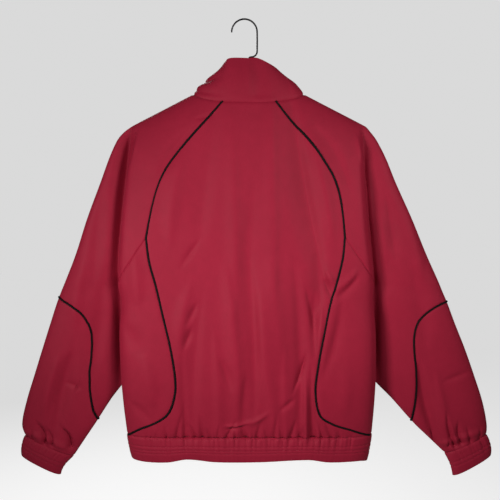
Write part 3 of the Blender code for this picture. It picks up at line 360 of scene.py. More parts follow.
ARM_CREASES = {
    BACK: [
        (-424, -756, -346, -789, 2, 6, 7, 4.0, 0.7, 0.7, 0.0),      # fullness above the cuffs
        (358, -786, 446, -753, 2, 7, 6, 3.4, 0.7, 0.7, 0.0),
        (-241, -470, -243, -700, 0, 10, 12, -15.0, 0.3, 0.5, 0.1),
        (234, -470, 245, -706, 0, 12, 8, -13.0, 0.3, 0.5, 0.1),
        (-262, -300, -284, -470, -3, 12, 15, -3.8, 0.1, 0.1, 0.0),
        (-300, -430, -322, -560, -4, 14, 12, 3.8, 0.1, 0.1, 0.0),
        (-268, -470, -290, -640, 0, 14, 14, -4.2, 0.1, 0.1, 0.0),
        (-346, -662, -312, -675, 1, 4, 6, -3.2, 0.1, 0.1, 0.5),
        (-326, -600, -361, -740, -5, 12, 16, -9.0, 0.1, 0.3, 0.1),
        (-352, -610, -384, -730, -4, 12, 9, 4.2, 0.1, 0.1, 0.0),
        (-398, -738, -384, -777, 4, 6, 4, -13.5, 0.15, 0.9, 0.5),
        (-382, -748, -371, -781, 3, 5, 4, -9.0, 0.1, 0.9, 0.5),
        (-352, -750, -338, -786, 5, 7, 4, -13.5, 0.15, 0.8, 0.5),
        (-410, -752, -408, -770, 0, 4, 4, -4.6, 0.1, 0.9, 0.4),
        (-330, -772, -330, -792, 0, 4, 4, -3.8, 0.1, 0.9, 0.4),
        (250, -312, 270, -432, 2, 8, 13, -4.8, 0.1, 0.1, 0.2),
        (234, -330, 252, -440, 2, 12, 8, 2.9, 0.1, 0.1, 0.0),
        (284, -300, 316, -470, 3, 14, 14, 3.2, 0.1, 0.1, 0.0),
        (300, -440, 330, -600, 3, 14, 16, -3.5, 0.1, 0.1, 0.0),
        (362, -661, 418, -640, 2, 5, 5, -2.6, 0.1, 0.1, 0.4),
        (321, -636, 364, -789, -5, 13, 11, -12.0, 0.2, 0.5, 0.2),
        (350, -640, 384, -770, -3, 9, 9, 3.2, 0.05, 0.2, 0.0),
        (372, -722, 391, -784, -3, 5, 6, -10.5, 0.1, 0.9, 0.4),
        (394, -738, 402, -779, -2, 5, 5, -9.5, 0.1, 0.9, 0.4),
        (381, -740, 395, -782, -2, 4, 4, 4.2, 0.1, 0.6, 0.2),
        (348, -756, 360, -788, -2, 4, 4, -9.0, 0.1, 0.95, 0.4),
        (378, -768, 380, -785, 0, 3, 4, -4.6, 0.1, 0.95, 0.4),
        (412, -748, 419, -774, -1, 4, 4, -6.5, 0.1, 0.9, 0.4),
        (436, -748, 437, -768, 0, 4, 4, -4.6, 0.1, 0.9, 0.4),
    ],
    FRONT: [
        (-280, -330, -312, -520, -4, 13, 14, -3.4, 0.1, 0.1, 0.1),
        (-318, -540, -352, -700, -4, 12, 14, 3.0, 0.1, 0.1, 0.0),
        (-296, -560, -330, -640, 5, 7, 9, -3.2, 0.1, 0.1, 0.3),
        (-392, -726, -386, -777, 2, 6, 5, -4.8, 0.1, 0.9, 0.3),
        (-362, -744, -357, -784, -2, 5, 5, -4.2, 0.1, 0.9, 0.4),
        (-338, -764, -336, -790, 0, 4, 4, -2.6, 0.1, 0.9, 0.4),
        (286, -330, 322, -520, 4, 14, 13, -3.2, 0.1, 0.1, 0.1),
        (334, -540, 372, -700, 4, 13, 13, 3.0, 0.1, 0.1, 0.0),
        (322, -560, 352, -650, -4, 8, 7, -3.0, 0.1, 0.1, 0.3),
        (376, -730, 386, -784, 2, 6, 5, -4.8, 0.1, 0.9, 0.3),
        (404, -744, 409, -777, 0, 5, 5, -4.0, 0.1, 0.9, 0.4),
        (426, -748, 430, -770, 0, 4, 4, -2.6, 0.1, 0.9, 0.4),
    ],
}

# Gathers that rise from the hem band's seam. Columns: x, height, lean of the top, half width, rise
GATHERS = {
    BACK: [
        (-171, 16, 3, 3.5, -2.5), (-151, 26, -4, 4.0, -3.9), (-133, 51, 12, 4.5, -5.3),
        (-115, 72, -3, 6.0, -6.4),
        (-98, 30, -13, 4.5, -6.1), (-84, 49, -6, 5.0, -6.4), (-71, 21, -6, 3.5, -5.1), (-57, 29, 4, 4.0, -4.2),
        (-41, 37, 20, 4.0, -5.1), (-23, 16, -5, 3.5, -3.3), (-6, 26, -8, 5.0, -6.1), (15, 36, 8, 4.5, -4.7),
        (33, 20, -3, 4.0, -3.9), (47, 49, 5, 5.0, -5.6), (61, 26, -5, 3.5, -4.4), (77, 40, 10, 5.0, -6.1),
        (95, 30, 8, 4.5, -4.4), (121, 116, -4, 5.0, -6.4), (135, 33, -8, 4.5, -5.9), (151, 40, -13, 5.0, -4.7),
        (167, 19, -4, 3.5, -3.1),
    ],
    FRONT: [
        (-183, 20, 3, 4.0, -4.2), (-164, 40, -5, 4.5, -6.0), (-145, 27, 5, 4.0, -6.4), (-131, 65, 4, 5.5, -8.3),
        (-113, 32, -8, 4.0, -6.4), (-98, 49, 8, 5.0, -8.3), (-81, 24, -4, 4.0, -5.7), (-66, 40, 5, 4.5, -6.9),
        (-50, 22, 3, 3.5, -4.5), (-33, 32, -4, 4.0, -4.9), (31, 30, 4, 4.0, -4.9), (48, 24, -3, 3.5, -4.9),
        (64, 43, -5, 5.0, -7.1), (83, 27, 5, 4.0, -6.0), (97, 54, -8, 5.0, -8.3), (115, 30, 6, 4.0, -6.0),
        (130, 59, -5, 5.5, -8.0), (148, 30, 4, 4.0, -6.4), (166, 38, 6, 4.5, -5.7), (184, 19, -3, 4.0, -4.2),
    ],
}

# Bumps and hollows of the collar. Columns: round (left is negative), up (0 to 1), reach round, reach up, rise
COLLAR_BUMPS = [
    (-0.14, 0.55, 0.06, 0.90, 2.0),
    (0.10, 0.50, 0.09, 0.90, -5.0),
    (0.30, 0.45, 0.10, 0.70, 2.4),
    (-0.27, 0.35, 0.07, 0.40, 2.0),
    (-0.40, 0.76, 0.13, 0.11, 3.2),
    (-0.38, 0.56, 0.13, 0.08, -3.6),
    (-0.40, 0.36, 0.14, 0.10, 2.8),
    (-0.34, 0.16, 0.13, 0.07, -2.6),
    (0.46, 0.62, 0.10, 0.16, 1.6),
    (0.66, 0.45, 0.09, 0.40, -2.2),
    (-0.70, 0.50, 0.10, 0.35, -2.0),
    (0.84, 0.60, 0.07, 0.40, 1.6),
    (-0.86, 0.40, 0.07, 0.40, 1.6),
]

# The foot of the hem band: how far it is lifted at places across the jacket.
HEM_LIFT_COLUMNS = ("x", "lift")
HEM_LIFT = [(-224, 3.0), (-214, 0.0), (-150, 0.0), (-112, 6.0), (-60, 1.0), (20, 1.0), (110, 5.0), (145, 0.5),
            (205, -1.0), (224, -6.0)]

STITCH_ROWS = (0.36, 0.52, 0.64)        # down the hem band
CUFF_STITCH_ROWS = (0.40, 0.58)         # down a cuff

# How much of the piping's cord shows: place down the seam, left and right radius, left and right lift.
CORD_COLUMNS = ("down", "radius_left", "radius_right", "lift_left", "lift_right")
CORD_SHOWN = [
    (0.00, 1.81, 1.81, 1.4, 1.4),
    (0.10, 2.09, 2.05, 1.6, 1.6),
    (0.20, 1.91, 2.00, 1.4, 1.5),
    (0.27, 1.44, 1.81, 0.9, 1.3),
    (0.34, 1.44, 1.63, 0.9, 1.1),
    (0.40, 1.81, 1.72, 1.3, 1.2),
    (0.50, 1.91, 1.77, 1.4, 1.3),
    (0.58, 1.81, 1.58, 1.3, 1.0),
    (0.75, 1.91, 1.77, 1.4, 1.3),
    (0.88, 2.05, 1.91, 1.5, 1.4),
    (1.00, 2.19, 2.05, 1.5, 1.5),
]

# Cells of each piece's grid, down it or across it
CELLS_PER_RUNG = 6
GUSSET_CELLS_PER_RUNG = 10
LOWER_CELLS = 120
BACK_CELLS = 250
FRONT_CELLS = 56
SLEEVE_BACK_CELLS = 120
SLEEVE_FRONT_CELLS = 50
ELBOW_CELLS = 56
FOREARM_CELLS = 80
CUFF_CELLS = 27
HEM_CELLS = 34
COLLAR_CELLS = 30


# ---- Curves and tables ----

def column_at(table, columns, name, where):
    """Values of a named column at places along the table's first column, on a smooth curve."""
    rows = np.array(table, float)
    key, value = rows[:, 0], rows[:, columns.index(name)]
    direction = 1 if key[-1] > key[0] else -1
    key, where = direction * key, direction * np.asarray(where, float)
    last = len(key) - 1
    before, after = np.maximum(np.arange(last + 1) - 1, 0), np.minimum(np.arange(last + 1) + 1, last)
    slope = (value[after] - value[before]) / (key[after] - key[before])
    index = np.clip(np.searchsorted(key, where, side="right") - 1, 0, last - 1)
    width = key[index + 1] - key[index]
    part = np.clip((where - key[index]) / width, 0.0, 1.0)
    square, cube = part ** 2, part ** 3
    return ((2 * cube - 3 * square + 1) * value[index] + (cube - 2 * square + part) * width * slope[index]
            + (3 * square - 2 * cube) * value[index + 1] + (cube - square) * width * slope[index + 1])


def run(points, axis=0):
    """Distance of each point from the start of its line, along one axis of a grid."""
    lengths = np.cumsum(np.linalg.norm(np.diff(points, axis=axis), axis=-1), axis=axis)
    return np.concatenate([np.zeros_like(np.take(lengths, [0], axis=axis)), lengths], axis=axis)


def spaced(points, places):
    """Points at the given shares of a line's length."""
    lengths = run(points)
    return np.stack([np.interp(np.asarray(places) * lengths[-1], lengths, points[:, axis])
                     for axis in range(points.shape[1])], axis=-1)


def curve_through(points, places):
    """Points at the given shares of the length of a smooth curve through a few points."""
    points = np.array(points, float)
    padded = np.vstack([points[:1], points, points[-1:]])
    t = np.arange(CURVE_STEPS)[:, None] / CURVE_STEPS
    fine = [0.5 * (2 * p1 + (p2 - p0) * t + (2 * p0 - 5 * p1 + 4 * p2 - p3) * t ** 2
                   + (3 * p1 - p0 - 3 * p2 + p3) * t ** 3)
            for p0, p1, p2, p3 in zip(padded, padded[1:], padded[2:], padded[3:])]
    return spaced(np.vstack(fine + [points[-1:]]), places)


def side_name(name, side):
    """Name of a table's column for one side."""
    return name + ("left" if side == LEFT else "right")


def body_value(name, z):
    """Values of a body column at heights."""
    return column_at(BODY, BODY_COLUMNS, name, z)


def sleeve_value(name, z):
    """Values of a sleeve column at heights."""
    return column_at(SLEEVE, SLEEVE_COLUMNS, name, z)


def outward_normals(points, outward):
    """Outward direction at each point of a grid."""
    across, down = np.gradient(points, axis=1), np.gradient(points, axis=0)
    normals = np.cross(across, down) * outward
    return normals / np.maximum(np.linalg.norm(normals, axis=-1, keepdims=True), 1e-9)


def lerp(start, end, part):
    """Blend of two values or arrays."""
    return start + (end - start) * part


def steps(start, end, count):
    """Evenly spaced values, both ends included."""
    return np.linspace(start, end, count + 1)


def rounded_steps(count):
    """Values from 0 to 1 that crowd towards both ends, where the cloth turns round an edge."""
    return 0.5 - 0.5 * np.cos(np.pi * steps(0, 1, count))


RUNGS = np.concatenate([steps(0, RAGLAN_RUNGS, RAGLAN_RUNGS * CELLS_PER_RUNG),
                        RAGLAN_RUNGS + steps(0, GUSSET_RUNGS, GUSSET_RUNGS * GUSSET_CELLS_PER_RUNG)[1:]])
ALL_RUNGS = RAGLAN_RUNGS + GUSSET_RUNGS
RAGLAN_ROWS = RAGLAN_RUNGS * CELLS_PER_RUNG
LOWER = steps(0, 1, LOWER_CELLS)
SLEEVE_BACK = rounded_steps(SLEEVE_BACK_CELLS)
SLEEVE_FRONT = rounded_steps(SLEEVE_FRONT_CELLS)[::-1][1:]


# ---- Creases and gathers ----

def relief(creases, x, z):
    """How far a list of creases lifts the cloth at points of the front view."""
    total = np.zeros(np.broadcast(x, z).shape)
    for x0, z0, x1, z1, bow, left, right, rise, start, end, crisp in creases:
        span_x, span_z = x1 - x0, z1 - z0
        length = math.hypot(span_x, span_z)
        along = ((x - x0) * span_x + (z - z0) * span_z) / length ** 2
        inside = np.clip(along, 0.0, 1.0)
        across = ((z - z0) * span_x - (x - x0) * span_z) / length - 4 * bow * inside * (1 - inside)
        past_end = np.abs(along - inside) * length * 2 / (left + right)
        held = lerp(start, end, inside)
        fade = held + (1 - held) * (1 - abs(end - start)) * np.sin(np.pi * inside) ** CREASE_FADE
        half_width = np.where(across < 0, left, right) * lerp(CREASE_TAPER, 1.0, fade)
        distance = np.hypot(across / half_width, past_end)
        total += rise * fade * np.exp(-distance ** (2 - crisp))
    return total


def gather_creases(layer):
    """Creases of the gathers that rise from the hem band."""
    return [(x + lean, HEM_SEAM_Z + height, x, HEM_SEAM_Z, 0, half_width, half_width, rise, 0.0, 1.0, 0.35)
            for x, height, lean, half_width, rise in GATHERS[layer]]


def uneven(index, middle, *waves):
    """A measure that varies from pleat to pleat."""
    return middle + sum(amount * math.sin(rate * index + shift) for amount, rate, shift in waves)


def small_pleats(along, start, end, pleats, phase=0.0, plain=0.0):
    """Depth of a row of small uneven pleats at places along it, with a plain stretch round its middle."""
    total = np.zeros(np.shape(along))
    centre, index = start, phase
    while centre < end:
        if abs(centre) > plain:
            width = uneven(index, *pleats["width"])
            total -= uneven(index, *pleats["depth"]) * np.exp(-((along - centre) / width) ** 2)
        centre += uneven(index, *pleats["gap"])
        index += 1
    return total


def ruche(layer, x):
    """Depth of the small pleats that the hem's elastic draws up, at places across the jacket."""
    start, end, plain = RUCHE_SPAN[layer]
    phase = FRONT_PHASE if layer == FRONT else 0.0
    return small_pleats(x, start + HEM_PLEAT_START, end, HEM_PLEATS, phase, plain)


def pleats_held(part, stitch_rows):
    """Share of a band's pleats that is left at shares of its depth, down to its last row of stitches."""
    return PLEATS_AT_FOOT + (1 - PLEATS_AT_FOOT) * np.clip(1 - part / stitch_rows[-1], 0.0, 1.0)


def band_form(part, stitch_rows):
    """Fullness of a doubled band between its seam and its foot, less the dips along its stitches."""
    dips = sum(np.exp(-((part - row) / CHANNEL_HALF) ** 2) for row in stitch_rows)
    return BAND_PUFF * np.sin(np.pi * np.clip(part, 0.0, 1.0)) ** 0.7 - CHANNEL_DEPTH * dips


# ---- Form of the body and the sleeves ----

def body_swell(layer, x, z):
    """Depth of the body's layer from its middle plane."""
    left, right = body_value("left", z), body_value("right", z)
    across = np.minimum(np.abs(x - (left + right) / 2) / ((right - left) / 2), 1.0)
    below = np.maximum(SHOULDER_TOP_Z - SHOULDER_SLOPE * np.abs(x) - z, 0.0)
    side = np.sqrt(1 - across ** body_value("square_back" if layer == BACK else "square_front", z))
    top = np.sqrt(1 - np.exp(-below / SHOULDER_ROUND))
    return body_value("back" if layer == BACK else "front", z) * side * top


def body_relief(layer, x, z):
    """Creases, gathers and small pleats of a layer of the body."""
    small = ruche(layer, x) * np.exp(-np.maximum(z - HEM_SEAM_Z, 0.0) / RUCHE_REACH)
    return relief(BODY_CREASES[layer] + gather_creases(layer), x, z) + small


def body_points(layer, x, z):
    """Points on the body's back or front."""
    swell = body_swell(layer, x, z)
    easing = np.minimum(swell / CREASE_EASE, 1.0)
    y = body_value("middle", z) + layer * (swell + easing * body_relief(layer, x, z))
    return np.stack([x, y, z], axis=-1)


def sleeve_points(side, layer, x, z, closed):
    """Points on a sleeve; above the armpit (not closed) it grows out of the body."""
    inner = np.abs(sleeve_value(side_name("inner_", side), z))
    outer = np.abs(sleeve_value(side_name("outer_", side), z))
    across = np.clip((np.abs(x) - inner) / np.maximum(outer - inner, 0.1), 0.0, 1.0)
    own = sleeve_value("half", z) * np.sqrt(np.maximum(1 - np.abs(2 * across - 1) ** SLEEVE_SQUARE, 0.0))
    easing = across * across * (3 - 2 * across)
    start = sleeve_value("y_inner", z)
    if not closed:
        edge = np.abs(column_at(TUCK, TUCK_COLUMNS, side_name("", side), z))
        beyond = np.clip((np.abs(x) - edge) / TUCK_WALL, 0.0, 1.0)
        depth = column_at(TUCK, TUCK_COLUMNS, side_name("depth_", side), z)
        start = body_value("middle", z) + depth * beyond ** 2 * (3 - 2 * beyond)
    middle = lerp(start, sleeve_value("y_outer", z), easing)
    lift = relief(ARM_CREASES[layer] + (TUCK_CREASES if closed and layer == BACK else []), x, z)
    swell = own
    if not closed:
        swell = (own ** LAYER_BLEND + body_swell(layer, x, z) ** LAYER_BLEND) ** (1 / LAYER_BLEND)
        lift = lift + body_relief(layer, x, z)
    y = middle + layer * (swell + np.minimum(swell / CREASE_EASE, 1.0) * lift)
    return np.stack([x, y, z], axis=-1)


@lru_cache(maxsize=None)
def side_seams(side):
    """Plane points of the seams of one side: raglan, gusset, lower back seam, front raglan and side edge."""
    line = BACK_SEAM[side]
    raglan = curve_through(line[:RAGLAN_POINTS], RUNGS[:RAGLAN_ROWS + 1] / RAGLAN_RUNGS)
    lower = curve_through(line[RAGLAN_POINTS - 1:], LOWER)
    armpit = np.array([float(body_value(side_name("", side), ARMPIT_Z)), ARMPIT_Z])
    gusset = lerp(raglan[-1], armpit, (RUNGS[RAGLAN_ROWS:, None] - RAGLAN_RUNGS) / GUSSET_RUNGS)
    front = curve_through(FRONT_SEAM[side], RUNGS / ALL_RUNGS)
    heights = lerp(ARMPIT_Z, HEM_SEAM_Z, LOWER)
    edge = np.stack([body_value(side_name("", side), heights), heights], axis=-1)
    return {"raglan": raglan, "gusset": gusset, "lower": lower, "front": front, "edge": edge}


def outer_line(side):
    """Plane points down the sleeve's outer edge, from the neck over the tip to the armpit's height."""
    neck = np.array([side * NECK_SIDE_X, SHOULDER_TOP_Z - SHOULDER_SLOPE * NECK_SIDE_X])
    tip = np.array([side * SHOULDER_TIP_X, SHOULDER_TOP_Z - SHOULDER_SLOPE * SHOULDER_TIP_X])
    name = side_name("outer_", side)
    arm = [(row[SLEEVE_COLUMNS.index(name)], row[0]) for row in SLEEVE if SHOULDER_FOOT_Z >= row[0] >= ARMPIT_Z]
    shoulder = lerp(neck, tip, np.minimum(RUNGS / SHOULDER_RUNGS, 1.0)[:, None])
    down = np.clip((RUNGS - SHOULDER_RUNGS) / (ALL_RUNGS - SHOULDER_RUNGS), 0.0, 1.0)
    return np.where(RUNGS[:, None] < SHOULDER_RUNGS, shoulder, curve_through([tip] + arm, down))


def eased_neck(places, table, rungs):
    """Move the first rows of plane points onto the curve of the collar's seam."""
    first = places[:1].copy()
    rise = column_at(table, NECK_COLUMNS, "z", np.abs(first[..., 0])) - first[..., 1]
    places[..., 1] += rise * np.maximum(1 - rungs / NECK_EASE_RUNGS, 0.0)[:, None]
    return places


# ---- Grids of points, one for each piece of cloth ----

@lru_cache(maxsize=None)
def back_grid():
    """Back panel, row by row from the collar to the hem."""
    left, right = side_seams(LEFT), side_seams(RIGHT)
    start = np.vstack([left["raglan"], left["lower"][1:]])
    end = np.vstack([right["raglan"], right["lower"][1:]])
    places = lerp(start[:, None], end[:, None], steps(0, 1, BACK_CELLS)[:, None])
    rungs = np.concatenate([RUNGS[:RAGLAN_ROWS + 1], RAGLAN_RUNGS + SIDE_STEPS * LOWER[1:]])
    places = eased_neck(places, NECK_BACK, rungs)
    return body_points(BACK, places[..., 0], places[..., 1])


@lru_cache(maxsize=None)
def side_grid(side):
    """Side panel, from the back seam to the side edge."""
    line = side_seams(side)
    part = steps(0, 1, GUSSET_RUNGS * GUSSET_CELLS_PER_RUNG)
    easing = np.minimum(LOWER * SIDE_STEPS / SIDE_EASE_STEPS, 1.0)[:, None]
    share = part + easing * (np.sin(part * np.pi / 2) - part)
    places = lerp(line["lower"][:, None], line["edge"][:, None], share[..., None])
    places[0] = line["gusset"]
    return body_points(BACK, places[..., 0], places[..., 1])


@lru_cache(maxsize=None)
def front_grid(side):
    """Front, from its zip edge to the raglan seam and the side edge."""
    line = side_seams(side)
    outer = np.vstack([line["front"], line["edge"][1:]])
    neck_z = NECK_FRONT[0][1]
    heights = np.concatenate([lerp(neck_z, ARMPIT_Z, RUNGS / ALL_RUNGS), line["edge"][1:, 1]])
    start = np.stack([np.full(len(heights), side * ZIP_GAP_HALF), heights], axis=-1)
    part = np.sin(steps(0, 1, FRONT_CELLS) * np.pi / 2)
    places = lerp(start[:, None], outer[:, None], part[:, None])
    rungs = np.concatenate([RUNGS, ALL_RUNGS + SIDE_STEPS * LOWER[1:]])
    places = eased_neck(places, NECK_FRONT, rungs)
    return body_points(FRONT, places[..., 0], places[..., 1])


def rung_rows(side, layer, line, outer, places_across):
    """One layer of the sleeve above the armpit, from its seam to the outer edge."""
    places = lerp(line[:, None], outer[:, None], places_across[:, None])
    places = eased_neck(places, NECK_BACK if layer == BACK else NECK_FRONT, RUNGS)
    x, z = places[..., 0], places[..., 1]
    points = sleeve_points(side, layer, x, z, False)
    seam = places_across == 0.0
    points[:, seam] = body_points(layer, x[:, seam], z[:, seam])
    edge = places_across == 1.0
    points[:, edge, 1] = sleeve_value("y_outer", z[:, edge])
    return points


@lru_cache(maxsize=None)
def arm_ends(side):
    """Evenly spaced plane points of the inner and outer edges, from the armpit to the cuff's seam."""
    lines = []
    for name, end in zip(("inner_", "outer_"), ARM_END_Z[side]):
        heights = steps(ARMPIT_Z, end, EDGE_STEPS)
        edge = np.stack([sleeve_value(side_name(name, side), heights), heights], axis=-1)
        lines.append(spaced(edge, steps(0, 1, ARM_STEPS)))
    return lines


def arm_points(side, layer, across, down):
    """Points on the closed sleeve, across from its inner edge and down from the armpit."""
    index, places = np.arange(ARM_STEPS + 1), np.clip(down, 0.0, 1.0) * ARM_STEPS
    inner, outer = (np.stack([np.interp(places, index, line[:, axis]) for axis in (0, 1)], axis=-1)
                    for line in arm_ends(side))
    spot = lerp(inner, outer, np.broadcast_to(across, places.shape)[..., None])
    return sleeve_points(side, layer, spot[..., 0], spot[..., 1], True)


def elbow_down(side, layer, across):
    """How far down the sleeve the elbow seam lies."""
    name = side_name("down_", side)
    if layer == BACK:
        return column_at(ELBOW, ELBOW_COLUMNS, name, across)
    low, high = (row[ELBOW_COLUMNS.index(name)] for row in (ELBOW[0], ELBOW[-1]))
    return lerp(low, high, 0.5 - 0.5 * np.cos(np.pi * across))


def closed_rows(points, first_row=0):
    """Bring the last column of the rows that run right round onto their first."""
    points[first_row:, -1] = points[first_row:, 0]
    return points


@lru_cache(maxsize=None)
def sleeve_grid(side):
    """Sleeve from the collar to the elbow seam; its last rows close under the arm."""
    line, outer = side_seams(side), outer_line(side)
    back_line = np.vstack([line["raglan"], line["gusset"][1:]])
    upper = np.hstack([rung_rows(side, BACK, back_line, outer, SLEEVE_BACK),
                       rung_rows(side, FRONT, line["front"], outer, SLEEVE_FRONT)])
    part = steps(0, 1, ELBOW_CELLS)[1:, None]
    lower = np.hstack([arm_points(side, layer, across, part * elbow_down(side, layer, across))
                       for layer, across in ((BACK, SLEEVE_BACK), (FRONT, SLEEVE_FRONT))])
    return closed_rows(np.vstack([upper, lower]), len(RUNGS) - 1)


@lru_cache(maxsize=None)
def forearm_grid(side):
    """Forearm panel, from the elbow seam to the cuff's seam."""
    part = steps(0, 1, FOREARM_CELLS)[:, None]
    rows = []
    for layer, across in ((BACK, SLEEVE_BACK), (FRONT, SLEEVE_FRONT)):
        start = elbow_down(side, layer, across)
        rows.append(arm_points(side, layer, across, lerp(start, 1.0, part)))
    return closed_rows(np.hstack(rows))


@lru_cache(maxsize=None)
def cuff_grid(side):
    """Cuff, which its elastic draws in from the forearm's end."""
    top = forearm_grid(side)[-1]
    outer, inner = (np.array([x, z], float) for x, z in CUFF_CORNERS[side])
    across = np.concatenate([SLEEVE_BACK, SLEEVE_FRONT])
    layer = np.concatenate([np.full(len(SLEEVE_BACK), BACK), np.full(len(SLEEVE_FRONT), FRONT)])
    mouth = lerp(inner, outer, across[:, None])
    round_y = layer * CUFF_HALF * np.sqrt(1 - np.abs(2 * across - 1) ** SLEEVE_SQUARE)
    low = np.stack([mouth[:, 0], top[:, 1].mean() + round_y, mouth[:, 1]], axis=-1)
    part = steps(0, 1, CUFF_CELLS)[:, None]
    drawn = 1 - (1 - part) ** 2
    points = lerp(top, low, drawn[..., None])
    points[..., 2] = lerp(top[:, 2], low[:, 2], part)
    return closed_rows(drawn_up(closed_rows(points), part, CUFF_STITCH_ROWS, -side))


def drawn_up(points, part, stitch_rows, outward):
    """A cuff with the small pleats of its elastic and the dips of its stitches."""
    around = run(points[0])
    pleats = small_pleats(around, CUFF_PLEAT_START, around[-1] - CUFF_PLEAT_END, CUFF_PLEATS)
    held = pleats_held(part, stitch_rows) * np.minimum(part / CUFF_FADE, 1.0)
    lift = pleats * held + band_form(part, stitch_rows)
    return points + outward_normals(points, outward) * lift[..., None]


def neck_runs():
    """Points round the collar's seam, from the zip by each side to the middle of the back."""
    back, half = back_grid()[0], BACK_CELLS // 2
    left = [front_grid(LEFT)[0], sleeve_grid(LEFT)[0][::-1][1:], back[1:half + 1]]
    right = [back[half:], sleeve_grid(RIGHT)[0][1:], front_grid(RIGHT)[0][::-1][1:]]
    return np.vstack(left), np.vstack(right)


@lru_cache(maxsize=None)
def collar_grid():
    """Collar from its seam to its top edge, from the zip by the left side, the back and the right side."""
    base, top, around = [], [], []
    for side, line in zip(SIDES, neck_runs()):
        lengths = run(line)
        place = lengths / lengths[-1]
        place = 1 - place if side == LEFT else place
        edge = np.stack([column_at(COLLAR_TOP, COLLAR_COLUMNS, side_name("", side) + axis, place)
                         for axis in ("_x", "_y", "_z")], axis=-1)
        first = 0 if side == LEFT else 1
        base.append(line[first:])
        top.append(edge[first:])
        around.append(side * place[first:])
    base, top, around = np.vstack(base), np.vstack(top), np.concatenate(around)
    middle = (base.mean(axis=0) + top.mean(axis=0)) / 2
    part = steps(0, 1, COLLAR_CELLS)[:, None]
    points = lerp(base, top, part[..., None])
    out = points - middle
    out[..., 2] = 0.0
    out /= np.linalg.norm(out, axis=-1, keepdims=True)
    swell = COLLAR_SWELL * np.sin(np.pi * part) + collar_relief(around, part)
    return points + out * swell[..., None]


def collar_relief(around, up):
    """Bumps and hollows of the collar, none of them at its seam."""
    total = np.zeros(np.broadcast(around, up).shape)
    for round_place, height, round_reach, up_reach, rise in COLLAR_BUMPS:
        total += rise * np.exp(-((around - round_place) / round_reach) ** 2 - ((up - height) / up_reach) ** 2)
    return total * np.minimum(up / COLLAR_HELD, 1.0)


@lru_cache(maxsize=None)
def hem_grid():
    """Hem band, from the zip's left edge by the back to its right edge, with its pleats and stitched rows."""
    top = np.vstack([front_grid(LEFT)[-1], side_grid(LEFT)[-1][::-1][1:], back_grid()[-1][1:],
                     side_grid(RIGHT)[-1][1:], front_grid(RIGHT)[-1][::-1][1:]])
    part = steps(0, 1, HEM_CELLS)[:, None]
    layer = np.where(np.arange(len(top)) < FRONT_CELLS, FRONT, BACK)
    layer[-FRONT_CELLS - 1:] = FRONT
    above, pleated = np.zeros(len(top)), np.zeros(len(top))
    for each in (BACK, FRONT):
        chosen = layer == each
        x, z = top[chosen, 0], top[chosen, 2]
        above[chosen] = each * np.minimum(body_swell(each, x, z) / CREASE_EASE, 1.0) * body_relief(each, x, z)
        pleated[chosen] = each * ruche(each, x)
    draw, fade = 1 - HEM_DRAW * part, np.exp(-part / BAND_FADE)
    x = top[:, 0] * draw
    y = (top[:, 1] - above) * draw + above * fade + pleated * pleats_held(part, STITCH_ROWS) * (1 - fade)
    lift = column_at(HEM_LIFT, HEM_LIFT_COLUMNS, "lift", x) * part ** 1.5
    points = np.stack([x, y, top[:, 2] - HEM_BAND * part + lift], axis=-1)
    points[:, 0, 0], points[:, -1, 0] = top[0, 0], top[-1, 0]
    shape = np.broadcast_to(band_form(part, STITCH_ROWS), x.shape)
    return points + outward_normals(points, -1) * shape[..., None]


# ---- Meshes ----

@contextmanager
def edited(mesh):
    """A mesh as a bmesh, which is written back at the end."""
    shape = bmesh.new()
    shape.from_mesh(mesh)
    yield shape
    shape.to_mesh(mesh)
    shape.free()


def dipped(points, outward, edges):
    """Points with the cloth pulled in along its sewn edges: top, bottom, first and last."""
    across, down = run(points, 1), run(points)
    distances = {"first": across, "last": across[:, -1:] - across, "top": down, "bottom": down[-1:] - down}
    nearest = np.min([distances[edge] for edge in edges], axis=0)
    dip = -SEAM_DIP * np.exp(-(nearest / SEAM_REACH) ** 2)
    return points + outward_normals(points, outward) * dip[..., None]


def grid_mesh(name, points, outward, closed_across=False, closed_down=False):
    """Mesh on a grid of points in pattern millimetres, with its faces outwards and a UV map in metres."""
    rows, columns = points.shape[0] - 1, points.shape[1] - 1
    mesh = bpy.data.meshes.new(name)
    with edited(mesh) as shape:
        shape.loops.layers.uv.new("cloth")
        bmesh.ops.create_grid(shape, x_segments=columns, y_segments=rows, size=0.5)
    spots = np.empty(len(mesh.vertices) * 3, np.float32)
    mesh.vertices.foreach_get("co", spots)
    spots = spots.reshape(-1, 3)
    j = np.rint((spots[:, 0] + 0.5) * columns).astype(int)
    i = np.rint((spots[:, 1] + 0.5) * rows).astype(int)
    placed = (points[i, j] + (CENTRE_X, 0, 0)) * MM
    mesh.vertices.foreach_set("co", placed.astype(np.float32).ravel())
    across = run(points, 1)
    across -= across[:, columns // 2][:, None]
    uv = np.stack([across[i, j], -run(points).mean(axis=1)[i]], axis=-1) * MM
    corners = np.empty(len(mesh.loops), int)
    mesh.loops.foreach_get("vertex_index", corners)
    mesh.uv_layers["cloth"].data.foreach_set("uv", uv[corners].astype(np.float32).ravel())
    at_end = (closed_across & ((j == 0) | (j == columns))) | (closed_down & ((i == 0) | (i == rows)))
    ends = set(np.flatnonzero(at_end).tolist())
    with edited(mesh) as shape:
        if ends:
            shape.verts.ensure_lookup_table()
            bmesh.ops.remove_doubles(shape, verts=[shape.verts[k] for k in ends], dist=SAME_PLACE)
        if outward < 0:
            bmesh.ops.reverse_faces(shape, faces=shape.faces)
        for edge in shape.edges:
            edge.smooth = not edge.is_boundary
        for face in shape.faces:
            face.smooth = True
    return mesh


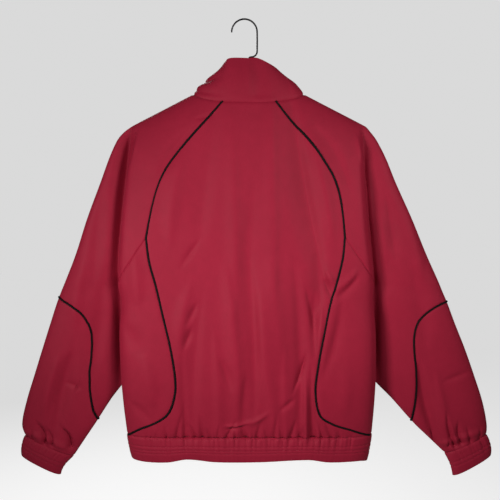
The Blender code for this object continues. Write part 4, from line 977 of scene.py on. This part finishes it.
def add_piece(name, mesh, material, body, nodes=()):
    """Link a mesh as a piece that rides on a body and stands for nodes of the frame."""
    piece = bpy.data.objects.new(name, mesh)
    bpy.context.scene.collection.objects.link(piece)
    mesh.materials.clear()
    mesh.materials.append(material)
    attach(piece, body)
    if nodes:
        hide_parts(*nodes)
    return piece


ALL_EDGES = ("top", "bottom", "first", "last")


def add_cloth(name, points, outward, thickness, edges=ALL_EDGES, closed=False):
    """A thin shell of cloth on a grid of points, which replaces its solid."""
    if edges:
        points = dipped(points, outward, edges)
        points = closed_rows(points) if closed else points
    mesh = grid_mesh(name, points, outward, closed_across=closed)
    piece = add_piece(name + "_cloth", mesh, cloth_material(), "jacket", [name])
    add_thickness(piece, thickness)


def add_thickness(piece, thickness):
    """Give a shell its wall, half of it on each side."""
    solid = piece.modifiers.new("thickness", "SOLIDIFY")
    solid.thickness, solid.offset = thickness, 0.0


def add_sleeve(name, points, outward, thickness):
    """A sleeve: open along its raglan seams, and closed under the arm below the armpit."""
    armpit = len(RUNGS) - 1
    open_part = dipped(points[:armpit + 1], outward, ("top", "first", "last"))
    closed_part = dipped(points, outward, ("bottom",))
    fade = np.clip((np.arange(len(points)) - armpit + 4) / 4, 0.0, 1.0)[:, None, None]
    merged = closed_part.copy()
    merged[:armpit + 1] = lerp(open_part, closed_part[:armpit + 1], fade[:armpit + 1])
    add_cloth(name, closed_rows(merged, armpit), outward, thickness, (), True)


def tube_mesh(name, line, normals, radius, sides, closed):
    """Round cord along a line of points, with normals to hang its section on."""
    if closed:
        along = np.roll(line[:-1], -1, axis=0) - np.roll(line[:-1], 1, axis=0)
        along = np.vstack([along, along[:1]])
    else:
        along = np.gradient(line, axis=0)
    across = np.cross(along, normals)
    across /= np.linalg.norm(across, axis=-1, keepdims=True)
    up = np.cross(across, along)
    up /= np.linalg.norm(up, axis=-1, keepdims=True)
    angle = np.linspace(0, 2 * np.pi, sides + 1)[None, :, None]
    radius = np.broadcast_to(np.asarray(radius, float), (len(line),))[:, None, None]
    points = line[:, None] + radius * (across[:, None] * np.cos(angle) + up[:, None] * np.sin(angle))
    mesh = grid_mesh(name, points, 1, closed_across=True, closed_down=closed)
    with edited(mesh) as shape:
        if not closed:
            bmesh.ops.holes_fill(shape, edges=[edge for edge in shape.edges if edge.is_boundary])
        bmesh.ops.recalc_face_normals(shape, faces=shape.faces)
    return mesh


def node_copy(node, name):
    """Copy of a frame node's mesh, which a piece can round off."""
    mesh = bpy.data.objects[node].data.copy()
    mesh.name = name
    return mesh


@contextmanager
def merged(mesh):
    """A node's copy as a bmesh whose loose triangles are joined at their corners."""
    with edited(mesh) as shape:
        bmesh.ops.remove_doubles(shape, verts=shape.verts, dist=COPY_MERGE)
        yield shape


def copies_mesh(name, pattern, matrices, smooth):
    """Mesh of copies of one small shape, placed in pattern millimetres."""
    mesh = bpy.data.meshes.new(name)
    with edited(mesh) as shape:
        for matrix in matrices:
            start = len(shape.verts)
            shape.from_mesh(pattern)
            shape.verts.ensure_lookup_table()
            bmesh.ops.transform(shape, matrix=matrix, verts=shape.verts[start:])
        to_metres = Matrix.Scale(MM, 4) @ Matrix.Translation((CENTRE_X, 0, 0))
        bmesh.ops.transform(shape, matrix=to_metres, verts=shape.verts)
        bmesh.ops.recalc_face_normals(shape, faces=shape.faces)
        for face in shape.faces:
            face.smooth = smooth
    bpy.data.meshes.remove(pattern)
    return mesh


def placed_at(spot, first, second):
    """Matrix that turns a shape's x and y to two directions and moves it to a spot."""
    matrix = Matrix((first, second, first.cross(second))).transposed().to_4x4()
    matrix.translation = spot
    return matrix


def spots_along(line, normals, places):
    """Place, direction and outward direction at distances along a line."""
    lengths = run(line)
    for place in places:
        wanted = ((place, line), (place + STITCH_REACH, line), (place, normals))
        spot, ahead, out = (Vector([np.interp(where, lengths, source[:, axis]) for axis in range(3)])
                            for where, source in wanted)
        if (ahead - spot).length > 1e-6:
            yield spot, (ahead - spot).normalized(), out.normalized()


# ---- Materials ----

SOCKETS = {type(None): "NodeSocketVector", tuple: "NodeSocketColor", float: "NodeSocketFloat"}


def node_group(name, inputs):
    """New shader group that gives a colour, a roughness and a height, with its own ends' sockets."""
    group = bpy.data.node_groups.new(name, "ShaderNodeTree")
    for label, value in inputs.items():
        socket = group.interface.new_socket(label, in_out="INPUT", socket_type=SOCKETS[type(value)])
        if value is not None:
            socket.default_value = value
    for label, kind in (("Colour", tuple), ("Roughness", float), ("Height", float)):
        group.interface.new_socket(label, in_out="OUTPUT", socket_type=SOCKETS[kind])
    return group, group.nodes.new("NodeGroupInput").outputs, group.nodes.new("NodeGroupOutput").inputs


def add_node(tree, kind, values=(), **settings):
    """New node with its properties set and its inputs filled or linked, by name or number."""
    node = tree.nodes.new(kind)
    for key, value in settings.items():
        setattr(node, key, value)
    for key, value in dict(values).items():
        if isinstance(value, bpy.types.NodeSocket):
            tree.links.new(value, node.inputs[key])
        else:
            node.inputs[key].default_value = value
    return node


def maths(tree, operation, *values):
    """Output of a Math node."""
    return add_node(tree, "ShaderNodeMath", dict(enumerate(values)), operation=operation).outputs[0]


def noise(tree, vector, scale, detail=2.0):
    """Factor of a Noise texture, about 0.5."""
    return add_node(tree, "ShaderNodeTexNoise", {"Vector": vector, "Scale": scale, "Detail": detail}).outputs[0]


def stretched_noise(tree, vector, scale, detail):
    """Noise drawn out along one direction, as threads and brushed lines are."""
    mapping = add_node(tree, "ShaderNodeMapping", {"Vector": vector, "Scale": scale})
    return noise(tree, mapping.outputs[0], 1.0, detail)


def about(tree, factor, amount):
    """How far a factor is above or below a half, times an amount."""
    return maths(tree, "MULTIPLY", maths(tree, "SUBTRACT", factor, 0.5), amount)


def tinted(tree, colour, factor, amount):
    """Colour made lighter or darker where a factor is above or below a half."""
    value = maths(tree, "ADD", about(tree, factor, amount), 1.0)
    return add_node(tree, "ShaderNodeHueSaturation", {"Color": colour, "Value": value}).outputs[0]


def patches(tree, factor, low, high, amount):
    """Patches where a factor passes from a low to a high level, times an amount."""
    spread = add_node(tree, "ShaderNodeMapRange", {"Value": factor, "From Min": low, "From Max": high})
    return maths(tree, "MULTIPLY", spread.outputs[0], amount)


def mixed(tree, share, first, second):
    """First colour with a share of the second."""
    return add_node(tree, "ShaderNodeMix", {"Factor": share, 6: first, 7: second}, data_type="RGBA").outputs[2]


@lru_cache(maxsize=None)
def weave_group():
    """Plain weave: threads over and under, slubs, soft rumples and a slight unevenness of the dye."""
    group, put, target = node_group(
        "Plain weave", {"Threads": None, "Place": None, "Colour": (0.4, 0.02, 0.05, 1), "Pitch": 0.0006,
                        "Rumple": 1.0, "Roughness": 0.6})
    split = add_node(group, "ShaderNodeSeparateXYZ", {0: put["Threads"]})
    turn = maths(group, "DIVIDE", math.pi, put["Pitch"])
    warp, weft = (maths(group, "SINE", maths(group, "MULTIPLY", split.outputs[axis], turn)) for axis in "XY")
    weave = maths(group, "MULTIPLY", warp, weft)
    slub = stretched_noise(group, put["Threads"], (2200, 90, 1), 1.0)
    cross = stretched_noise(group, put["Threads"], (90, 2200, 1), 1.0)
    grain = maths(group, "MULTIPLY", maths(group, "ADD", slub, cross), 0.5)
    broad = noise(group, put["Place"], 7.0, 3.0)
    middling = noise(group, put["Place"], 55.0, 3.0)
    colour = put["Colour"]
    for factor, amount in ((grain, 0.34), (broad, 0.22), (middling, 0.14)):
        colour = tinted(group, colour, factor, amount)
    low = about(group, middling, put["Rumple"])
    height = maths(group, "ADD", maths(group, "MULTIPLY", weave, 0.05), low)
    height = maths(group, "ADD", height, maths(group, "MULTIPLY", grain, 0.10))
    group.links.new(colour, target["Colour"])
    group.links.new(maths(group, "ADD", put["Roughness"], about(group, grain, 0.25)), target["Roughness"])
    group.links.new(height, target["Height"])
    return group


@lru_cache(maxsize=None)
def twill_group():
    """Fine diagonal ribs of a bias binding, with lint and worn ribs."""
    group, put, target = node_group(
        "Twill binding", {"Threads": None, "Place": None, "Colour": (0.02, 0.02, 0.02, 1), "Pitch": 0.0008,
                          "Lint": 0.2})
    split = add_node(group, "ShaderNodeSeparateXYZ", {0: put["Threads"]})
    turn = maths(group, "DIVIDE", 2 * math.pi, put["Pitch"])
    diagonal = maths(group, "ADD", split.outputs["X"], split.outputs["Y"])
    rib = maths(group, "SINE", maths(group, "MULTIPLY", diagonal, turn))
    lint = noise(group, put["Place"], 900.0)
    worn = noise(group, put["Place"], 60.0)
    colour = tinted(group, tinted(group, put["Colour"], lint, 1.2), worn, 0.8)
    share = patches(group, lint, 0.66, 0.8, put["Lint"])
    group.links.new(mixed(group, share, colour, (0.05, 0.012, 0.016, 1)), target["Colour"])
    group.links.new(maths(group, "ADD", 0.5, maths(group, "MULTIPLY", worn, 0.3)), target["Roughness"])
    group.links.new(maths(group, "ADD", maths(group, "MULTIPLY", rib, 0.3), lint), target["Height"])
    return group


@lru_cache(maxsize=None)
def metal_group():
    """Fine brushing, tarnish in patches and small scratches of a metal or coated wire."""
    group, put, target = node_group(
        "Worn metal", {"Place": None, "Colour": (0.2, 0.2, 0.2, 1), "Tarnish": (0.05, 0.05, 0.05, 1),
                       "Roughness": 0.35, "Wear": 0.5})
    share = patches(group, noise(group, put["Place"], 120.0, 3.0), 0.42, 0.68, put["Wear"])
    lines = stretched_noise(group, put["Place"], (4000, 400, 400), 2.0)
    rough = maths(group, "ADD", put["Roughness"], maths(group, "MULTIPLY", share, 0.3))
    group.links.new(mixed(group, share, put["Colour"], put["Tarnish"]), target["Colour"])
    group.links.new(maths(group, "ADD", rough, about(group, lines, 0.2)), target["Roughness"])
    group.links.new(lines, target["Height"])
    return group


def finish_material(name, group, values, bump, **constants):
    """Material of one Principled shader fed by a shared group; bump is (strength, distance)."""
    material = bpy.data.materials.new(name)
    material.use_nodes = True
    tree = material.node_tree
    shader = tree.nodes["Principled BSDF"].inputs
    effect = add_node(tree, "ShaderNodeGroup", node_tree=group)
    tree.links.new(add_node(tree, "ShaderNodeTexCoord").outputs["Object"], effect.inputs["Place"])
    if "Threads" in effect.inputs:
        tree.links.new(add_node(tree, "ShaderNodeUVMap", uv_map="cloth").outputs[0], effect.inputs["Threads"])
    for key, value in values.items():
        effect.inputs[key].default_value = value
    strength, distance = bump
    bumps = add_node(tree, "ShaderNodeBump", {"Strength": strength, "Distance": distance,
                                              "Height": effect.outputs["Height"]})
    tree.links.new(effect.outputs["Colour"], shader["Base Color"])
    tree.links.new(effect.outputs["Roughness"], shader["Roughness"])
    tree.links.new(bumps.outputs[0], shader["Normal"])
    for key, value in constants.items():
        shader[key.replace("_", " ")].default_value = value
    return material


@lru_cache(maxsize=None)
def cloth_material():
    """Crimson plain-woven polyester."""
    cloth = bpy.context.scene.jacket_cloth
    values = {"Colour": (*cloth.colour, 1.0), "Pitch": cloth.thread_pitch, "Rumple": cloth.rumple,
              "Roughness": 0.62}
    return finish_material("Crimson polyester", weave_group(), values, (0.5, 0.0009), Sheen_Weight=0.04,
                           Sheen_Roughness=0.45, Sheen_Tint=(1.0, 0.35, 0.4, 1.0), Specular_IOR_Level=0.12)


@lru_cache(maxsize=None)
def binding_material():
    """Near-black binding of the piping."""
    values = {"Colour": (*bpy.context.scene.jacket_trims.piping_colour, 1.0), "Pitch": 0.0009, "Lint": 0.25}
    return finish_material("Black binding", twill_group(), values, (0.5, 0.0003), Specular_IOR_Level=0.12)


@lru_cache(maxsize=None)
def tape_material():
    """Woven zip tape."""
    values = {"Colour": (0.03, 0.006, 0.01, 1.0), "Pitch": 0.0007, "Lint": 0.1}
    return finish_material("Zip tape weave", twill_group(), values, (0.5, 0.0003))


@lru_cache(maxsize=None)
def thread_material():
    """Sewing thread, a little brighter than the cloth."""
    values = {"Colour": (*bpy.context.scene.jacket_trims.thread_colour, 1.0), "Pitch": 0.0004, "Rumple": 0.2,
              "Roughness": 0.5}
    return finish_material("Crimson thread", weave_group(), values, (0.3, 0.0002))


def metal_finish(name, colour, tarnish, roughness, wear, bump, **constants):
    """Material of the worn metal group."""
    values = {"Colour": (*colour, 1), "Tarnish": (*tarnish, 1), "Roughness": roughness, "Wear": wear}
    return finish_material(name, metal_group(), values, bump, **constants)


@lru_cache(maxsize=None)
def metal_material():
    """Gunmetal of the slider and pull."""
    return metal_finish("Gunmetal", (0.16, 0.16, 0.17), (0.06, 0.055, 0.055), 0.28, 0.6, (0.15, 0.0001),
                        Metallic=1.0)


@lru_cache(maxsize=None)
def teeth_material():
    """Moulded black teeth."""
    return metal_finish("Moulded teeth", (0.014, 0.012, 0.014), (0.04, 0.035, 0.038), 0.34, 0.5, (0.1, 0.0001))


@lru_cache(maxsize=None)
def wire_material():
    """Dark coated wire of the hanger, worn where it rubs."""
    return metal_finish("Coated wire", (0.012, 0.011, 0.012), (0.045, 0.038, 0.036), 0.38, 0.35, (0.12, 0.0002),
                        Metallic=0.35, Coat_Weight=0.25, Coat_Roughness=0.3)


# ---- Stitches and the zip ----

def stitch_mesh(name, rows, pitch):
    """Mesh of small rounded stitches laid end to end along rows of points with their normals."""
    pattern = bpy.data.meshes.new(name + "_one")
    with edited(pattern) as single:
        bmesh.ops.create_icosphere(single, subdivisions=1, radius=1.0)
        bmesh.ops.scale(single, vec=STITCH_SIZE, verts=single.verts)
    matrices = [placed_at(spot, along, out.cross(along).normalized())
                for line, normals in rows
                for spot, along, out in spots_along(line, normals, np.arange(pitch / 2, run(line)[-1], pitch))]
    return copies_mesh(name, pattern, matrices, True)


def teeth_mesh(path, outs):
    """Mesh of the teeth, on alternate sides from below the collar's edge to the foot."""
    pattern = bpy.data.meshes.new("tooth")
    with edited(pattern) as single:
        bmesh.ops.create_cube(single, size=1.0)
        bmesh.ops.scale(single, vec=TOOTH_SIZE, verts=single.verts)
        bmesh.ops.bevel(single, geom=single.edges[:], offset=TOOTH_BEVEL, segments=1, profile=0.5,
                        affect="EDGES", material=-1)
    matrices, side = [], 1
    places = np.arange(ZIP_TOP_DROP, run(path)[-1] - ZIP_FOOT_GAP, TOOTH_PITCH)
    for spot, along, up in spots_along(path, outs, places):
        across = along.cross(up).normalized()
        matrices.append(placed_at(spot + across * side * TOOTH_SHIFT + up * TEETH_LIFT, across, along))
        side = -side
    return copies_mesh("zip_teeth", pattern, matrices, False)


def row_at(points, outward, part, lift):
    """Line on a band at a share of its depth, raised off the cloth, with its outward directions."""
    place = part * (len(points) - 1)
    low = int(place)
    normals = outward_normals(points, outward)
    line = lerp(points[low], points[low + 1], place - low)
    out = lerp(normals[low], normals[low + 1], place - low)
    return line + out * lift, out


def zip_path():
    """Middle line of the zip from the collar's top edge to the foot of the hem band."""
    collar, front, hem = collar_grid()[:, -1][::-1], front_grid(RIGHT)[1:, 0], hem_grid()[1:, -1]
    line = np.vstack([collar, front, hem])
    line[:, 0] = 0.0
    return line


# ---- Properties ----

LENGTH = {"subtype": "DISTANCE", "unit": "LENGTH"}
COLOUR = {"subtype": "COLOR", "size": 3, "min": 0, "max": 1}
POWER = {"unit": "POWER", "min": 0}


class JacketCloth(bpy.types.PropertyGroup):
    """Cloth of the jacket."""

    colour: FloatVectorProperty(name="Colour", description="Colour of the cloth",
                                default=(0.285, 0.0100, 0.030), **COLOUR)
    thread_pitch: FloatProperty(name="Thread pitch", description="Distance between neighbouring threads",
                                default=0.0006, min=0.0002, max=0.002, precision=5, **LENGTH)
    rumple: FloatProperty(name="Rumple", description="Strength of the fine rumples", default=0.8, min=0, max=3)
    thickness: FloatProperty(name="Cloth", description="Thickness of a single cloth",
                             default=0.0008, min=0.0004, max=0.002, precision=5, **LENGTH)
    collar_thickness: FloatProperty(name="Collar", description="Thickness of the doubled collar",
                                    default=0.0016, min=0.0004, max=0.003, precision=5, **LENGTH)
    band_thickness: FloatProperty(name="Bands", description="Thickness of the hem band and the cuffs",
                                  default=0.0022, min=0.0004, max=0.004, precision=5, **LENGTH)


class JacketTrims(bpy.types.PropertyGroup):
    """Piping, stitches and zip."""

    piping_colour: FloatVectorProperty(name="Piping", description="Colour of the piping",
                                       default=(0.0035, 0.0025, 0.0030), **COLOUR)
    thread_colour: FloatVectorProperty(name="Thread", description="Colour of the stitches",
                                       default=(0.29, 0.011, 0.028), **COLOUR)
    stitch_pitch: FloatProperty(name="Stitch pitch", description="Distance from stitch to stitch",
                                default=0.003, min=0.001, max=0.01, precision=4, **LENGTH)
    piping_sides: IntProperty(name="Piping sides", description="Faces round the piping's cord",
                              default=10, min=6, max=24)


class JacketStage(bpy.types.PropertyGroup):
    """Camera, lights and floor."""

    lens: FloatProperty(name="Lens", description="Focal length", default=38.6, min=10, max=200, unit="CAMERA")
    key: FloatProperty(name="Key light", description="Power of the light from the left", default=3.2, **POWER)
    fill: FloatProperty(name="Fill light", description="Power of the light from the right", default=1.95,
                        **POWER)
    rear: FloatProperty(name="Rear light", description="Power of the light on the fronts", default=30.0,
                        **POWER)
    world: FloatProperty(name="World", description="Light of the plain surroundings",
                         default=0.12, min=0, max=5)
    backdrop: FloatProperty(name="Backdrop", description="How bright the plain surroundings look",
                            default=0.70, min=0, max=1)
    floor_drop: FloatProperty(name="Floor drop", description="Floor below the hem",
                              default=0.90, min=0.05, max=2, **LENGTH)


# ---- Operators, one for each piece or group of like pieces ----

class Builder:
    """Shared running of the operators."""

    bl_options = {"REGISTER", "UNDO"}

    def execute(self, context):
        """Build the operator's pieces."""
        self.build(context.scene)
        return {"FINISHED"}


class BuildBackPanel(Builder, bpy.types.Operator):
    """Build the centre back, between the two lines of piping."""

    bl_idname = "jacket.back_panel"
    bl_label = "Back Panel"

    def build(self, scene):
        add_cloth("back_panel", back_grid(), -1, scene.jacket_cloth.thickness)


class BuildSidePanels(Builder, bpy.types.Operator):
    """Build the side panels below the armholes."""

    bl_idname = "jacket.side_panels"
    bl_label = "Side Panels"

    def build(self, scene):
        for side in SIDES:
            add_cloth("side_panel_" + LETTER[side], side_grid(side), -side, scene.jacket_cloth.thickness)


class BuildFronts(Builder, bpy.types.Operator):
    """Build the two fronts."""

    bl_idname = "jacket.fronts"
    bl_label = "Fronts"

    def build(self, scene):
        for side in SIDES:
            add_cloth("front_" + LETTER[side], front_grid(side), side, scene.jacket_cloth.thickness)


class BuildSleeves(Builder, bpy.types.Operator):
    """Build the raglan sleeves down to the elbow seams."""

    bl_idname = "jacket.sleeves"
    bl_label = "Sleeves"

    def build(self, scene):
        for side in SIDES:
            add_sleeve("sleeve_" + LETTER[side], sleeve_grid(side), -side, scene.jacket_cloth.thickness)


class BuildForearms(Builder, bpy.types.Operator):
    """Build the panels from the elbow seams to the cuffs."""

    bl_idname = "jacket.forearms"
    bl_label = "Forearms"

    def build(self, scene):
        for side in SIDES:
            add_cloth("forearm_" + LETTER[side], forearm_grid(side), -side, scene.jacket_cloth.thickness,
                      ("top", "bottom"), True)


class BuildCuffs(Builder, bpy.types.Operator):
    """Build the elasticated cuffs."""

    bl_idname = "jacket.cuffs"
    bl_label = "Cuffs"

    def build(self, scene):
        for side in SIDES:
            add_cloth("cuff_" + LETTER[side], cuff_grid(side), -side, scene.jacket_cloth.band_thickness,
                      ("top",), True)


class BuildCollar(Builder, bpy.types.Operator):
    """Build the stand collar."""

    bl_idname = "jacket.collar"
    bl_label = "Collar"

    def build(self, scene):
        add_cloth("collar", collar_grid(), 1, scene.jacket_cloth.collar_thickness, ("top",))


class BuildHemBand(Builder, bpy.types.Operator):
    """Build the elasticated band at the hem."""

    bl_idname = "jacket.hem_band"
    bl_label = "Hem Band"

    def build(self, scene):
        add_cloth("hem_band", hem_grid(), -1, scene.jacket_cloth.band_thickness, ("top",))


class BuildPiping(Builder, bpy.types.Operator):
    """Build the piping in the back seams and round the elbow seams."""

    bl_idname = "jacket.piping"
    bl_label = "Piping"

    def build(self, scene):
        sides = scene.jacket_trims.piping_sides
        back = dipped(back_grid(), -1, ALL_EDGES)
        normals = outward_normals(back_grid(), -1)
        for side, column in ((LEFT, 0), (RIGHT, -1)):
            line, out = back[:, column], normals[:, column]
            down = run(line) / run(line)[-1]
            radius, lift = (column_at(CORD_SHOWN, CORD_COLUMNS, side_name(name, side), down)
                            for name in ("radius_", "lift_"))
            self.add_cord("piping_back_" + LETTER[side], line + out * lift[:, None], out, radius, sides, False)
        for side in SIDES:
            forearm = forearm_grid(side)
            out = outward_normals(forearm, -side)[0]
            out[-1] = out[0] = out[0] + out[-1]
            line = forearm[0] + out / np.linalg.norm(out, axis=-1, keepdims=True) * ELBOW_CORD_LIFT
            self.add_cord("piping_elbow_" + LETTER[side], line, out, ELBOW_CORD, sides, True)

    @staticmethod
    def add_cord(node, line, out, radius, sides, closed):
        """The cord of one seam, in the place of its solid."""
        mesh = tube_mesh(node, line, out, radius, sides, closed)
        add_piece(node + "_cord", mesh, binding_material(), "jacket", [node])


class BuildStitches(Builder, bpy.types.Operator):
    """Sew the rows of stitches through the hem band's and the cuffs' elastic."""

    bl_idname = "jacket.stitches"
    bl_label = "Stitches"

    def build(self, scene):
        pitch = scene.jacket_trims.stitch_pitch / MM
        half = scene.jacket_cloth.band_thickness / MM / 2
        bands = [("hem_stitches", hem_grid(), -1, STITCH_ROWS)]
        for side in SIDES:
            bands.append(("cuff_stitches_" + LETTER[side], cuff_grid(side), -side, CUFF_STITCH_ROWS))
        for name, points, outward, stitch_rows in bands:
            rows = [row_at(points, outward, part, half) for part in stitch_rows]
            add_piece(name, stitch_mesh(name, rows, pitch), thread_material(), "jacket")


class BuildZip(Builder, bpy.types.Operator):
    """Build the zip's tape and its closed teeth."""

    bl_idname = "jacket.zip"
    bl_label = "Zip"

    def build(self, scene):
        path = zip_path()
        points = np.repeat(path[:, None], TAPE_CELLS + 1, axis=1)
        points[..., 0] = steps(-TAPE_HALF_SHOWN, TAPE_HALF_SHOWN, TAPE_CELLS)
        out = np.cross((1.0, 0.0, 0.0), np.gradient(path, axis=0))
        out /= np.linalg.norm(out, axis=-1, keepdims=True)
        out *= np.sign(out[:, 1:2] + 1e-9)
        tape = grid_mesh("zip_tape_weave", points - out[:, None] * TAPE_SINK, 1)
        piece = add_piece("zip_tape_weave", tape, tape_material(), "jacket", ["zip_tape"])
        add_thickness(piece, TAPE_THICKNESS)
        add_piece("zip_teeth", teeth_mesh(path, out), teeth_material(), "jacket")


class BuildSlider(Builder, bpy.types.Operator):
    """Round off the zip's slider and its pull tab."""

    bl_idname = "jacket.slider"
    bl_label = "Slider and Pull"

    def build(self, scene):
        for node, body in (("zip_slider", "jacket"), ("zip_pull", "pull")):
            mesh = node_copy(node, node + "_metal")
            with merged(mesh) as shape:
                bmesh.ops.dissolve_limit(shape, angle_limit=math.radians(FLAT_ANGLE), verts=shape.verts,
                                         edges=shape.edges)
            piece = add_piece(node + "_metal", mesh, metal_material(), body, [node])
            bevel = piece.modifiers.new("rounding", "BEVEL")
            bevel.width, bevel.segments, bevel.limit_method = METAL_ROUNDING, 2, "ANGLE"
            bevel.angle_limit = math.radians(BEVEL_ANGLE)


class BuildHanger(Builder, bpy.types.Operator):
    """Round the hanger's wire."""

    bl_idname = "jacket.hanger"
    bl_label = "Hanger"

    def build(self, scene):
        mesh = node_copy("hanger", "hanger_wire")
        with merged(mesh) as shape:
            angle = math.radians(QUAD_ANGLE)
            bmesh.ops.join_triangles(shape, faces=shape.faces, angle_face_threshold=angle,
                                     angle_shape_threshold=angle)
            for face in shape.faces:
                face.smooth = True
        piece = add_piece("hanger_wire", mesh, wire_material(), "jacket", ["hanger"])
        rounding = piece.modifiers.new("rounding", "SUBSURF")
        rounding.levels = rounding.render_levels = 1


class BuildStage(Builder, bpy.types.Operator):
    """Set up the camera, the lights and the plain floor."""

    bl_idname = "jacket.stage"
    bl_label = "Stage"

    def build(self, scene):
        stage = scene.jacket_stage
        scene.view_settings.view_transform = "Standard"
        data = bpy.data.cameras.new("camera")
        data.lens, data.sensor_width = stage.lens, 36.0
        camera = bpy.data.objects.new("camera", data)
        camera.location = CAMERA_PLACE
        camera.rotation_euler = (math.radians(CAMERA_TILT), 0.0, 0.0)
        scene.collection.objects.link(camera)
        scene.camera = camera
        self.add_floor(scene, stage)
        world = bpy.data.worlds.new("surroundings")
        world.use_nodes = True
        tree = world.node_tree
        level = maths(tree, "MULTIPLY_ADD", self.seen(tree), stage.backdrop - stage.world, stage.world)
        tree.links.new(level, tree.nodes["Background"].inputs["Strength"])
        tree.nodes["Background"].inputs["Color"].default_value = (1.0, 1.0, 1.0, 1.0)
        scene.world = world
        for name, (place, goal, size, spread) in LAMPS.items():
            lamp = bpy.data.lights.new(name, "AREA")
            lamp.energy, lamp.size, lamp.spread = getattr(stage, name), size, math.radians(spread)
            light = bpy.data.objects.new(name, lamp)
            light.location = place
            light.visible_camera = False
            light.rotation_euler = (Vector(goal) - Vector(place)).to_track_quat("-Z", "Y").to_euler()
            scene.collection.objects.link(light)

    @staticmethod
    def seen(tree):
        """One where the camera sees the surface itself, and nought where it only gives light."""
        return add_node(tree, "ShaderNodeLightPath").outputs["Is Camera Ray"]

    def add_floor(self, scene, stage):
        """Plain pale floor below the hem, which looks as bright as the surroundings."""
        mesh = bpy.data.meshes.new("floor")
        with edited(mesh) as shape:
            bmesh.ops.create_grid(shape, x_segments=1, y_segments=1, size=FLOOR_HALF)
            bmesh.ops.translate(shape, vec=(0, 0, CAD_BOX[0][2] - stage.floor_drop), verts=shape.verts)
        floor = bpy.data.objects.new("floor", mesh)
        scene.collection.objects.link(floor)
        pale = bpy.data.materials.new("Pale floor")
        pale.use_nodes = True
        tree = pale.node_tree
        finish = tree.nodes["Principled BSDF"].inputs
        finish["Base Color"].default_value = (FLOOR_GREY, FLOOR_GREY, FLOOR_GREY, 1)
        finish["Roughness"].default_value = 0.9
        finish["Specular IOR Level"].default_value = 0.0
        finish["Emission Color"].default_value = (1.0, 1.0, 1.0, 1.0)
        glow = maths(tree, "MULTIPLY", self.seen(tree), stage.backdrop - FLOOR_GREY * stage.world)
        tree.links.new(glow, finish["Emission Strength"])
        mesh.materials.append(pale)


class JacketPanel(bpy.types.Panel):
    """Lists the pieces and their settings."""

    bl_idname = "VIEW3D_PT_jacket"
    bl_label = "Track Jacket"
    bl_space_type = "VIEW_3D"
    bl_region_type = "UI"
    bl_category = "Jacket"

    def draw(self, context):
        """Draw the settings and one button for each operator."""
        for group in (context.scene.jacket_cloth, context.scene.jacket_trims, context.scene.jacket_stage):
            box = self.layout.box()
            for name in group.__annotations__:
                box.prop(group, name)
        for operator in OPERATORS:
            self.layout.operator(operator.bl_idname)


OPERATORS = (BuildBackPanel, BuildSidePanels, BuildFronts, BuildSleeves, BuildForearms, BuildCuffs, BuildCollar,
             BuildHemBand, BuildPiping, BuildStitches, BuildZip, BuildSlider, BuildHanger, BuildStage)
GROUPS = {"jacket_cloth": JacketCloth, "jacket_trims": JacketTrims, "jacket_stage": JacketStage}


def register():
    """Register the classes and the settings."""
    for each in (*GROUPS.values(), *OPERATORS, JacketPanel):
        bpy.utils.register_class(each)
    for name, group in GROUPS.items():
        setattr(bpy.types.Scene, name, PointerProperty(type=group))


def unregister():
    """Remove the settings and the classes."""
    for name in GROUPS:
        delattr(bpy.types.Scene, name)
    for each in (JacketPanel, *reversed(OPERATORS), *reversed(list(GROUPS.values()))):
        bpy.utils.unregister_class(each)


def main():
    """Build everything."""
    register()
    for operator in OPERATORS:
        getattr(bpy.ops.jacket, operator.bl_idname.split(".")[1])()


if __name__ == "__main__":
    main()
